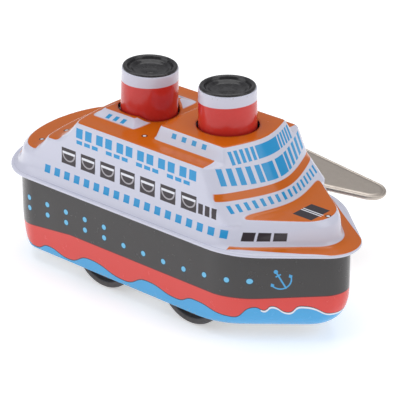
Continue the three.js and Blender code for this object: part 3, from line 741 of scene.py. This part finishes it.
def boat_plan(tip, nose, bow, bend, half, stern, centre, inset=0.0):
    """Points round a boat's outline, in millimetres, from the stem down the port side."""
    tip, nose, bend, half = tip - inset, nose - inset, bend - inset, half - inset
    stern += inset
    angle = math.radians(bow)
    nose_centre = tip - nose
    bend_y = half - bend
    reach = math.sin(angle) * nose_centre + nose - bend - math.cos(angle) * bend_y
    bend_x = reach / math.sin(angle)
    flank = math.pi / 2 - angle
    port = []
    for i in range(NOSE_STEPS + 1):
        turn = flank * i / NOSE_STEPS
        port.append((nose_centre + nose * math.cos(turn), nose * math.sin(turn)))
    for i in range(BEND_STEPS + 1):
        turn = flank + (math.pi / 2 - flank) * i / BEND_STEPS
        port.append((bend_x + bend * math.cos(turn), bend_y + bend * math.sin(turn)))
    for i in range(STERN_STEPS + 1):
        turn = math.pi / 2 + math.pi / 2 * i / STERN_STEPS
        port.append((centre + (centre - stern) * math.cos(turn), half * math.sin(turn)))
    return port + [(x, -y) for x, y in port[-2:0:-1]]


def evenly(outline, count):
    """The same closed outline with its points at equal distances."""
    points = np.array(outline + outline[:1])
    gaps = np.hypot(*np.diff(points, axis=0).T)
    travel = np.concatenate(([0], np.cumsum(gaps)))
    marks = np.linspace(0, travel[-1], count, endpoint=False)
    return list(zip(np.interp(marks, travel, points[:, 0]), np.interp(marks, travel, points[:, 1])))


print("rim outline:", len(boat_plan(**RIM)), "points")


# %% Meshes from rings
def new_piece(name, points, faces, material, body):
    """A smooth object from points in boat millimetres, with its material, riding on a body."""
    mesh = bpy.data.meshes.new(name)
    mesh.from_pydata([place(*p) for p in points], [], faces)
    mesh.validate()
    piece = bpy.data.objects.new(name, mesh)
    bpy.context.scene.collection.objects.link(piece)
    if material:
        mesh.materials.append(material)
    mesh.polygons.foreach_set("use_smooth", [True] * len(mesh.polygons))
    if body:
        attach(piece, body)
    return piece


def loft_faces(levels, count):
    """Quads between closed rings of equal count."""
    faces = []
    for start in range(0, (levels - 1) * count, count):
        for i in range(count):
            following = (i + 1) % count
            faces.append((start + i, start + following, start + count + following, start + count + i))
    return faces


def loft(rings, closed=False):
    """Points and faces of a skin through rings of (x, y, z); closed adds a lid at each end."""
    count = len(rings[0])
    points = [p for ring in rings for p in ring]
    faces = loft_faces(len(rings), count)
    if closed:
        faces += [tuple(range(count))[::-1], tuple(range(len(points) - count, len(points)))]
    return points, faces


def apply_modifiers(piece):
    """Replaces the mesh by its evaluated copy and drops the modifiers."""
    evaluated = piece.evaluated_get(bpy.context.evaluated_depsgraph_get())
    mesh = bpy.data.meshes.new_from_object(evaluated)
    old, piece.data = piece.data, mesh
    piece.modifiers.clear()
    bpy.data.meshes.remove(old)


def thicken(piece, thickness):
    """Gives a skin the thickness of its sheet, inwards."""
    solidify = piece.modifiers.new("sheet", "SOLIDIFY")
    solidify.thickness = thickness * MM
    solidify.offset = -1
    apply_modifiers(piece)


# %% Hull skin
HULL_FOOT, HULL_HEAD = node_box("hull_shell")[0].z, 28.3
BILGE_TOP, HULL_INSET, FLANGE_INSET = 15.0, 3.2, 1.6
STEM_TUCK, STERN_TUCK, SIDE_TUCK = 7.5, 3.2, 0.3      # roughly how far the foot tucks in
SIDE_RINGS, BILGE_RINGS = 12, 15
HULL_POINTS = 420
SHEET_THICKNESS = 0.3


def hull_outline(z, extra=0.0):
    """The hull's outline at a height; below the bilge the ends round in towards the foot."""
    drop = min(1.0, max(0.0, (BILGE_TOP - z) / (BILGE_TOP - HULL_FOOT)))
    tuck = 1 - math.sqrt(1 - 0.98 * drop * drop)
    plan = dict(
        RIM, tip=RIM["tip"] - STEM_TUCK * tuck, stern=RIM["stern"] + STERN_TUCK * tuck,
        half=RIM["half"] - SIDE_TUCK * tuck)
    return evenly(boat_plan(**plan, inset=HULL_INSET + SIDE_TUCK * drop + extra), HULL_POINTS)


def hull_skin():
    """Side sheet from its flange under the rim down to a foot turned in below the floor plate."""
    bilge = BILGE_TOP - HULL_FOOT
    heights = [HULL_HEAD - (HULL_HEAD - BILGE_TOP) * i / SIDE_RINGS for i in range(SIDE_RINGS)]
    heights += [BILGE_TOP - bilge * math.sin(math.pi / 2 * i / (BILGE_RINGS - 1))
                for i in range(BILGE_RINGS)]
    flange = HULL_INSET - FLANGE_INSET
    rings = [[(x, y, z) for x, y in hull_outline(z, -out)]
             for z, out in ((29.5, flange), (28.95, flange), (28.8, 0.4), (28.6, 0.12))]
    rings += [[(x, y, z) for x, y in hull_outline(z)] for z in heights]
    for turn in (30, 60, 90):
        angle = math.radians(turn)
        inward, fall = 0.5 * (1 - math.cos(angle)), 0.3 * math.sin(angle)
        rings.append([(x, y, HULL_FOOT - fall) for x, y in hull_outline(HULL_FOOT, inward)])
    rings.append([(x, y, HULL_FOOT - 0.3) for x, y in hull_outline(HULL_FOOT, 1.5)])
    points, faces = loft(rings[::-1])
    hull = new_piece("hull_skin", points, faces, HULL_TIN, "ship")
    thicken(hull, SHEET_THICKNESS)
    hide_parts("hull_shell")
    return hull


hull = hull_skin()
print("hull skin:", len(hull.data.polygons), "faces")


# %% Storeys of the superstructure
RIM_TOP, DECK_1, DECK_2, MAIN_DECK = 30.8, 38.4, 44.0, 51.8
AFT_HOUSE_TOP, FORE_HOUSE_TOP = 53.6, 56.2

# Lower storey: height, half beam, stern, tip, nose radius and bow angle of each level.
STOREY_1 = [
    (30.2, 24.6, -61.6, 55.3, 7.0, 43.5), (RIM_TOP, 24.3, -61.2, 54.9, 7.2, 43),
    (32, 23.4, -60.5, 54.5, 7.4, 42.5), (33.5, 22.9, -59.9, 54.1, 7.8, 42),
    (36.6, 22.4, -59, 53.2, 9, 38.5), (DECK_1, 21.2, -56.6, 51.8, 9.5, 36.5),
]
# Raked front: height, how far forward its middle stands, and its sweep back.
FRONT = [(37, 39.6, 0.36), (DECK_2, 34.2, 0.48), (MAIN_DECK, 29.8, 0.42), (FORE_HOUSE_TOP, 27.7, 0.48)]
FRONT_ROUNDING = 8      # the sweep starts gently over this distance from the middle
AFT_BOW = 0.006         # how far the aft edge bows forward, for the square of the distance aside
FRONT_STEPS, AFT_STEPS = 8, 6


def front_x(y, z):
    """How far forward the swept front stands at a distance aside and a height."""
    heights = [station[0] for station in FRONT]
    middle = np.interp(z, heights, [station[1] for station in FRONT])
    sweep = np.interp(z, heights, [station[2] for station in FRONT])
    return middle - sweep * (math.hypot(y, FRONT_ROUNDING) - FRONT_ROUNDING)


def storey_plan(z, half, aft, corner=4.0):
    """Outline of an upper storey: swept front, round corners, bowed aft edge."""
    def aft_x(y):
        return aft + AFT_BOW * y * y

    shoulder = half - corner
    port = [(front_x(shoulder * i / FRONT_STEPS, z), shoulder * i / FRONT_STEPS)
            for i in range(FRONT_STEPS + 1)]
    front_corner = (front_x(half, z) - corner * 0.6, half)
    aft_corner = (aft_x(half) + corner * 0.6, half)
    port += rounded(port[-1], (front_x(half, z), half), front_corner)
    port += rounded(aft_corner, (aft_x(half), half), (aft_x(shoulder), shoulder))
    port += [(aft_x(shoulder * i / AFT_STEPS), shoulder * i / AFT_STEPS)
             for i in range(AFT_STEPS - 1, -1, -1)]
    return port + [(x, -y) for x, y in port[-2:0:-1]]


def rounded(start, corner, end, steps=6):
    """A quadratic curve from start to end that the corner pulls on."""
    return [
        tuple((1 - t) ** 2 * a + 2 * t * (1 - t) * b + t * t * c for a, b, c in zip(start, corner, end))
        for t in (i / steps for i in range(1, steps + 1))
    ]


def stack(levels):
    """Rings of points from outlines and their heights."""
    return [[(x, y, z) for x, y in outline] for z, outline in levels]


print("main deck:", round(front_x(0, MAIN_DECK), 1), "mm forward at its middle")


# %% The solid block of steps
VOXEL = 0.38


def superstructure_blocks():
    """Closed lofts that overlap: rim, lower storey, two upper storeys and two deck houses."""
    rim = [(z, boat_plan(**RIM, inset=0.75)) for z in (29.8, RIM_TOP)]
    lower = [
        (z, boat_plan(tip, nose, bow, 18, half, stern, RIM["centre"]))
        for z, half, stern, tip, nose, bow in STOREY_1
    ]
    second = [(z, storey_plan(z, half, aft)) for z, half, aft in (
        (37, 22.2, -50.0), (38.2, 22.15, -49.4), (38.8, 22.1, -47.6), (40.7, 22.05, -45.5),
        (42.5, 22, -44.0), (43.6, 21.9, -43.1), (DECK_2, 21.7, -41.9))]
    third = [(z, storey_plan(z, half, aft)) for z, half, aft in (
        (42, 21.9, -42.0), (43.8, 21.9, -40.4), (44.3, 21.8, -38.6), (45.0, 21.8, -37.2),
        (46.4, 21.7, -35.3), (48.4, 21.6, -33.4), (50.4, 21.4, -31.7), (51.4, 21.3, -30.9),
        (MAIN_DECK, 21.0, -30.1))]
    fore = [(z, storey_plan(z, half, aft, corner=1.0)) for z, half, aft in (
        (50.3, 16, -3.2), (53, 15.1, -2.5), (FORE_HOUSE_TOP, 13.7, -1.6))]
    aft_levels = [(50.3, -27.4, -7.4, 18.5), (AFT_HOUSE_TOP, -26.4, -13.6, 10.2)]
    aft = [(z, [(f, -h), (f, h), (a, h), (a, -h)]) for z, a, f, h in aft_levels]
    return [stack(levels) for levels in (rim, lower, second, third, fore, aft)]


def melted_block():
    """One closed mesh from all the blocks, by a voxel remesh."""
    points, faces = [], []
    for rings in superstructure_blocks():
        more, quads = loft(rings, closed=True)
        faces += [tuple(i + len(points) for i in face) for face in quads]
        points += more
    block = new_piece("superstructure_skin", points, faces, None, None)
    remesh = block.modifiers.new("melt", "REMESH")
    remesh.mode, remesh.voxel_size = "VOXEL", VOXEL * MM
    apply_modifiers(block)
    return block


print("blocks:", len(superstructure_blocks()))


# %% Relaxing the pressing
SOFT_PASSES, FILL_PASSES = 4, 60
NORMALS_EVERY = 12      # fill passes between two looks at which way the surface faces


def relax(mesh, passes, fill_passes):
    """Softens a mesh, then lets only its hollows fill, as a sheet drawn over a punch does."""
    count = len(mesh.vertices)
    points = np.empty(count * 3)
    mesh.vertices.foreach_get("co", points)
    points = points.reshape(-1, 3)
    edges = np.empty(len(mesh.edges) * 2, dtype=np.int64)
    mesh.edges.foreach_get("vertices", edges)
    a, b = edges.reshape(-1, 2).T
    shares = np.bincount(a, minlength=count) + np.bincount(b, minlength=count)

    def pull():
        total = np.stack([
            np.bincount(a, points[b, axis], count) + np.bincount(b, points[a, axis], count)
            for axis in range(3)], axis=1)
        return total / shares[:, None] - points

    for _ in range(passes):
        points += 0.5 * pull()
    for step in range(fill_passes):
        if step % NORMALS_EVERY == 0:
            mesh.vertices.foreach_set("co", points.ravel())
            mesh.update()
            normals = np.empty(count * 3)
            mesh.vertex_normals.foreach_get("vector", normals)
            normals = normals.reshape(-1, 3)
        move = pull()
        outward = (move * normals).sum(axis=1)
        points += 0.5 * np.maximum(outward, 0)[:, None] * normals
    mesh.vertices.foreach_set("co", points.ravel())
    mesh.update()


print("relaxing:", SOFT_PASSES, "passes, then", FILL_PASSES, "that only fill")


# %% Opening the skin
HOLE_RADIUS, HOLE_SEARCH = 9.3, 12      # the hole, and how far off its edge may still lie
FLOOR_TOP, HOUSE_FOOT = 30.3, 50        # the floor lies below the first, the holes above the second


def open_skin(piece):
    """Takes the floor away and opens a round hole for each funnel, with a neat edge."""
    shape = bmesh.new()
    shape.from_mesh(piece.data)
    below = [f for f in shape.faces
             if f.normal.z < -0.4 and f.calc_center_median().z < FLOOR_TOP * MM]
    bmesh.ops.delete(shape, geom=below, context="FACES")
    for each in FUNNELS.values():
        x, y, _ = place(each["x"], 0, 0)

        def off_axis(v):
            return math.hypot(v.co.x - x, v.co.y - y)

        inside = [v for v in shape.verts
                  if off_axis(v) < HOLE_RADIUS * MM and v.co.z > HOUSE_FOOT * MM]
        bmesh.ops.delete(shape, geom=inside, context="VERTS")
        edge = [v for v in shape.verts if v.is_boundary and off_axis(v) < HOLE_SEARCH * MM]
        for v in edge:
            scale = HOLE_RADIUS * MM / off_axis(v)
            v.co.x, v.co.y = x + (v.co.x - x) * scale, y + (v.co.y - y) * scale
    shape.to_mesh(piece.data)
    shape.free()


def superstructure_skin():
    """The whole upper pressing: blocks melted, relaxed, opened and given the sheet's thickness."""
    skin = melted_block()
    relax(skin.data, SOFT_PASSES, FILL_PASSES)
    open_skin(skin)
    skin.data.materials.append(WHITE_TIN)
    skin.data.polygons.foreach_set("use_smooth", [True] * len(skin.data.polygons))
    thicken(skin, SHEET_THICKNESS)
    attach(skin, "ship")
    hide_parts("superstructure")
    return skin


skin = superstructure_skin()
print("superstructure skin:", len(skin.data.polygons), "faces")


# %% [markdown]
# ## The rolled rim
# The superstructure's edge is rolled over the hull's flange all round. It could be a bevel on the
# skin, but a small oval section carried along the rim's outline gives the roll its own highlight.
# The tip of the bow is orange like the ledge it borders, so it takes the superstructure's paint.

# %% Rim
RIM_POINTS = 560
MERGE_GAP = 0.004
ROLL_WIDTH, ROLL_HEIGHT = 0.75, 0.62      # half the section's width and height
ROLL_MIDDLE, ROLL_SIDES = 30.25, 14


def rolled_rim():
    """The oval roll all round the boat, closed on itself."""
    rings = []
    for i in range(ROLL_SIDES):
        turn = 2 * math.pi * i / ROLL_SIDES
        reach = ROLL_WIDTH * (1 - math.cos(turn))
        z = ROLL_MIDDLE + ROLL_HEIGHT * math.sin(turn)
        rings.append([(x, y, z) for x, y in evenly(boat_plan(**RIM, inset=reach), RIM_POINTS)])
    points, faces = loft(rings)
    seam = (ROLL_SIDES - 1) * RIM_POINTS
    for i in range(RIM_POINTS):
        following = (i + 1) % RIM_POINTS
        faces.append((seam + i, seam + following, following, i))
    rim = new_piece("rolled_rim", points, faces, WHITE_TIN, "ship")
    outward_faces(rim)
    return rim


def outward_faces(piece, merge=False):
    """Turns every face to look out of the piece; merge first joins points that coincide."""
    shape = bmesh.new()
    shape.from_mesh(piece.data)
    if merge:
        bmesh.ops.remove_doubles(shape, verts=shape.verts, dist=MERGE_GAP * MM)
    bmesh.ops.recalc_face_normals(shape, faces=shape.faces)
    shape.to_mesh(piece.data)
    shape.free()


rim = rolled_rim()
print("rim:", len(rim.data.polygons), "faces")


# %% [markdown]
# ## Funnels
# A funnel is a tube of printed tin with a black pressed cap let into its top. Both are turned
# shapes, so a profile of radius and height is spun round. They hang loose on the rocker inside, so
# each leans a little in its hole. The white band is printed, and on the front one it runs slightly
# askew.

# %% Turned pieces
SEGMENTS = 96      # round a funnel or a wheel


def turned(name, profile, material, body, at, lean):
    """A profile of (radius, height) spun about a vertical line; lean tips it forward."""
    points = []
    for r, z in profile:
        for i in range(SEGMENTS):
            turn = 2 * math.pi * i / SEGMENTS
            points.append((r * math.cos(turn), r * math.sin(turn), z))
    tip = Matrix.Rotation(math.radians(lean), 3, "Y")
    moved = [tip @ Vector(p) + Vector(at) for p in points]
    piece = new_piece(name, moved, loft_faces(len(profile), SEGMENTS), material, body)
    outward_faces(piece, merge=True)
    return piece


def bent(profile, radius=0.25, steps=3):
    """The same profile with its inner corners rounded off."""
    points = [profile[0]]
    for before, corner, after in zip(profile, profile[1:], profile[2:]):
        corner_v, ends = Vector(corner), []
        for other in (before, after):
            away = Vector(other) - corner_v
            ends.append(corner_v + away.normalized() * min(radius, away.length * 0.45))
        points += [tuple(ends[0])] + [tuple(p) for p in rounded(ends[0], corner_v, ends[1], steps)]
    return points + [profile[-1]]


print("turned pieces:", SEGMENTS, "steps round")


# %% Funnel enamel and cap lacquer
BAND_WIDTH = 4.4
CHIPPED_TIN = ink(176, 172, 172)


def funnel_paint(top, slant):
    """Red enamel below a white band whose lower edge may run askew."""
    def paint(tree):
        forward, _, up, _, vector, _ = measures(tree)
        edge = top - BAND_WIDTH + forward * slant
        streak = noise(tree, vector, 0.5, 3.0)
        red = tint(tree, streak, ink(208, 44, 40), ink(216, 56, 50))
        colour = tint(tree, up.over(edge, 0.1), red, WHITE)
        wear = up.over(top - 1.4, 0.4) * 0.9
        chips = use_group(tree, CHIPS, Position=vector, Wear=wear, Size=1.6)
        return tint(tree, chips, colour, CHIPPED_TIN), vector

    return paint


def cap_paint(tree):
    """Black lacquer with a little dust."""
    *_, vector, _ = measures(tree)
    dust = noise(tree, vector, 0.8, 5.0, 0.7)
    return tint(tree, dust.over(0.62, 0.2), ink(38, 37, 39), ink(66, 65, 68)), vector


CAP_LACQUER = enamel("black_cap_lacquer", cap_paint, waviness=0.6, gloss=0.2)
print("cap lacquer:", len(CAP_LACQUER.node_tree.nodes), "nodes")


# %% Funnels and caps
FUNNEL_RADIUS, CAP_RADIUS = 8.65, 8.3


def funnel(name, slant):
    """A tube with a turned-in top, and the dished cap let into it; returns both."""
    x, lean, foot = FUNNELS[name]["x"], FUNNELS[name]["lean"], FUNNELS[name]["box"][0].z
    top = node_box(f"{name}_cap")[1].z
    height = top - foot
    out = FUNNEL_RADIUS
    tube = bent([
        (out - 0.05, 0), (out + 0.18, 0.05), (out + 0.02, 3.2), (out - 0.08, height - 1.5),
        (out - 0.12, height - 1.0), (out - 0.25, height - 0.7), (CAP_RADIUS - 0.25, height - 0.75),
        (CAP_RADIUS - 0.25, height - 1.6), (out - 0.45, height - 2.4), (out - 0.4, 3.2),
        (out - 0.25, 0.1), (out - 0.05, 0),
    ])
    material = enamel(f"{name}_enamel", funnel_paint(top - slant * x, slant), gloss=0.2)
    body = turned(f"{name}_tube", tube, material, name, (x, 0, foot), lean)
    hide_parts(name)

    cap = bent([
        (0, height - 1.5), (1.6, height - 1.55), (3.0, height - 1.95), (5.0, height - 1.6),
        (5.9, height - 0.85), (6.3, height - 0.8), (6.6, height - 1.2), (6.85, height - 0.3),
        (7.3, height), (7.9, height), (CAP_RADIUS, height - 0.35), (CAP_RADIUS - 0.02, height - 1.0),
        (CAP_RADIUS - 0.3, height - 1.6), (6.4, height - 2.7), (0, height - 2.7),
    ], radius=0.4, steps=4)
    lid = turned(f"{name}_cap_dish", cap, CAP_LACQUER, name, (x, 0, foot), lean)
    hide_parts(f"{name}_cap")
    return body, lid


for name, slant in (("front_funnel", 0.055), ("rear_funnel", 0.0)):
    tube, lid = funnel(name, slant)
    print(name, len(tube.data.polygons) + len(lid.data.polygons), "faces")


# %% [markdown]
# ## The winding key
# A butterfly key stamped from steel sheet: a blade with a rolled border, closed into a socket that
# fits the arbor. The blade's outline is a few arcs. Offsetting it inwards step by step, with a
# height for each step, gives the rounded edge and the fine groove inside it.

# %% Rolled steel
def metal(name, colour, stain, polish=0.3, grain=0.05):
    """Bare sheet metal: a bright colour, clouded by tarnish, with rolling streaks."""
    material, tree, shader = new_material(name)
    *_, vector, _ = measures(tree)
    rolled = tree.nodes.new("ShaderNodeGroup")
    rolled.node_tree = ROLLED
    tree.links.new(vector.socket, rolled.inputs["Position"])
    rolled.inputs["Polish"].default_value = polish
    clouds = Amount(tree, rolled.outputs["Tarnish"])
    feed(tree, shader.inputs["Base Color"], tint(tree, clouds.over(0.5, 0.25), colour, stain))
    tree.links.new(rolled.outputs["Roughness"], shader.inputs["Roughness"])
    shader.inputs["Metallic"].default_value = 1.0
    bump(tree, shader, rolled.outputs["Height"], grain)
    return material


KEY_STEEL = metal("key_steel", ink(214, 204, 194), ink(198, 188, 178), 0.38, 0.02)
MOTOR_STEEL = metal("zinc_plated_steel", ink(190, 190, 188), ink(150, 150, 150), 0.28)
BRASS = metal("stamped_brass", ink(205, 172, 96), ink(160, 124, 62), 0.24)
SPRING_STEEL = metal("blued_spring_steel", ink(96, 104, 122), ink(62, 64, 76), 0.25)
print("metals:", [each.name for each in (KEY_STEEL, MOTOR_STEEL, BRASS, SPRING_STEEL)])


# %% Key blade and socket
ARBOR = sum(node_box("great_wheel"), Vector()) / 2
print("arbor:", [round(v, 2) for v in ARBOR])
KEY_TILT, KEY_SPAN, KEY_INNER = 6.4, 24.3, 35.2
KEY_OUTER = node_box("winding_key")[1].y
KEY_TIP, KEY_HALF_THICK, KEY_POINTS = 5.4, 0.75, 260
TIP_START, TIP_SWEEP, TIP_STEPS = -68, 158, 16      # degrees round a wing's tip


def blade_outline():
    """Both wings, in millimetres along and outboard: straight outer edge, round tips."""
    centre = (KEY_SPAN - KEY_TIP, KEY_OUTER - KEY_TIP)
    wing = [(3.0, KEY_INNER)]
    for i in range(TIP_STEPS + 1):
        turn = math.radians(TIP_START + TIP_SWEEP * i / TIP_STEPS)
        wing.append((centre[0] + KEY_TIP * math.cos(turn), centre[1] + KEY_TIP * math.sin(turn)))
    return evenly(wing + [(-x, y) for x, y in wing[::-1]], KEY_POINTS)


def offset(outline, distance):
    """The outline moved inwards by a distance, along its own normals."""
    points = np.array(outline)
    along = np.roll(points, -2, axis=0) - np.roll(points, 2, axis=0)
    normal = np.stack([-along[:, 1], along[:, 0]], axis=1) / np.hypot(*along.T)[:, None]
    return points + normal * distance


def key_point(x, y, z):
    """From the key's own measure to the boat's, tipped so that the bow wing hangs lower."""
    sine, cosine = math.sin(math.radians(KEY_TILT)), math.cos(math.radians(KEY_TILT))
    return (ARBOR.x + x * cosine + z * sine, y, ARBOR.z - x * sine + z * cosine)


def key_blade():
    """The blade: each step is a distance in from the edge and the half thickness there."""
    outline, half = blade_outline(), KEY_HALF_THICK
    steps = [
        (0.0, 0.0), (0.06, 0.32), (0.28, 0.62), (0.6, half), (0.85, half - 0.02),
        (1.0, half - 0.16), (1.2, half - 0.16), (1.35, half - 0.02), (2.2, half), (3.4, half),
    ]
    rings = [[key_point(x, y, -z) for x, y in offset(outline, d)] for d, z in steps[:0:-1]]
    rings += [[key_point(x, y, z) for x, y in offset(outline, d)] for d, z in steps]
    points, faces = loft(rings, closed=True)
    blade = new_piece("key_blade", points, faces, KEY_STEEL, "winder")
    outward_faces(blade)
    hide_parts("winding_key")
    return blade


def key_socket():
    """The socket, from a profile of radius and distance outboard; it ends inside the blade."""
    profile = bent([(1.8, 26.4), (2.7, 26.4), (2.7, 33.5), (2.45, 36.0), (2.2, 41.0), (0.0, 41.4)], 0.4)
    profile = [(1.8, 30.0)] + profile
    points, segments = [], 48
    for r, y in profile:
        for i in range(segments):
            turn = 2 * math.pi * i / segments
            points.append(key_point(r * math.cos(turn), y, r * math.sin(turn)))
    socket = new_piece("key_socket", points, loft_faces(len(profile), segments), KEY_STEEL, "winder")
    outward_faces(socket, merge=True)
    return socket


blade, socket = key_blade(), key_socket()
print("key:", len(blade.data.polygons) + len(socket.data.polygons), "faces")


# %% [markdown]
# ## Wheels
# Dark moulded wheels with a flat tread, a dished face, ribs and a hub. A turned profile gives the
# rings, and moving the dish in and out with the angle raises the ribs, as a mould would.

# %% Wheel plastic
def wheel_plastic():
    """Dark plastic, paler and duller where it is scuffed."""
    material, tree, shader = new_material("moulded_wheel_plastic")
    *_, vector, _ = measures(tree)
    scuff = noise(tree, vector, 1.2, 5.0, 0.7)
    colour = tint(tree, scuff.over(0.56, 0.2), ink(66, 62, 62), ink(88, 84, 82))
    feed(tree, shader.inputs["Base Color"], colour)
    feed(tree, shader.inputs["Roughness"], 0.42 + scuff * 0.25)
    bump(tree, shader, scuff, 0.06)
    return material


WHEEL_PLASTIC = wheel_plastic()
print("wheel plastic:", len(WHEEL_PLASTIC.node_tree.nodes), "nodes")


# %% Four wheels
RIBS, RIB_HEIGHT = 6, 0.8


def wheel(node, body):
    """A moulding in the place of a wheel's node, with ribs on both faces."""
    low, high = node_box(node)
    radius = (high.z - low.z) / 2
    x, z = (low.x + high.x) / 2, (low.z + high.z) / 2
    near, far = sorted((low.y, high.y), key=abs)
    out = 1 if far > 0 else -1
    width = abs(far - near)
    profile = bent([
        (1.1, 0.1), (3.4, 0), (3.7, 1.3), (radius - 2.4, 1.5), (radius - 1.9, 0.1), (radius - 0.45, 0),
        (radius, 0.5), (radius, width - 0.5), (radius - 0.45, width), (radius - 1.9, width - 0.05),
        (radius - 2.4, width - 1.5), (3.7, width - 1.3), (3.4, width - 0.1), (1.1, width - 0.1), (1.1, 0.1),
    ], 0.35)
    points = []
    for r, y in profile:
        for i in range(SEGMENTS):
            turn = 2 * math.pi * i / SEGMENTS
            rib = max(0.0, math.cos(turn * RIBS)) ** 6 if 3.9 < r < radius - 2.5 else 0.0
            lift = RIB_HEIGHT * rib * (1 if y > width / 2 else -1)
            points.append((x + r * math.cos(turn), near + out * (y + lift), z + r * math.sin(turn)))
    faces = loft_faces(len(profile), SEGMENTS)
    piece = new_piece(f"{node}_moulding", points, faces, WHEEL_PLASTIC, body)
    outward_faces(piece, merge=True)
    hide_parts(node)
    return piece


for axle, body in (("front", "drive_axle"), ("rear", "rear_axle")):
    for side in ("port", "starboard"):
        moulding = wheel(f"{axle}_wheel_{side}", body)
print("wheels:", len(moulding.data.polygons), "faces each")


# %% [markdown]
# ## The mechanism's finishes
# The motor shows only through the wheel slots and round the funnels. Its shapes come straight from
# the frame, so each piece only needs the metal that it is stamped from.

# %% Metals on the mechanism
FINISHES = {"motor_steel": MOTOR_STEEL, "brass": BRASS, "spring_steel": SPRING_STEEL}
SLOTS = {part["node"]: part["material_slot"] for part in frame["record"]["subparts"]}

dressed = 0
for node, slot in SLOTS.items():
    if slot in FINISHES:
        materials = frame["nodes"][node].data.materials
        materials.clear()
        materials.append(FINISHES[slot])
        dressed += 1
print("mechanism:", dressed, "pieces dressed")
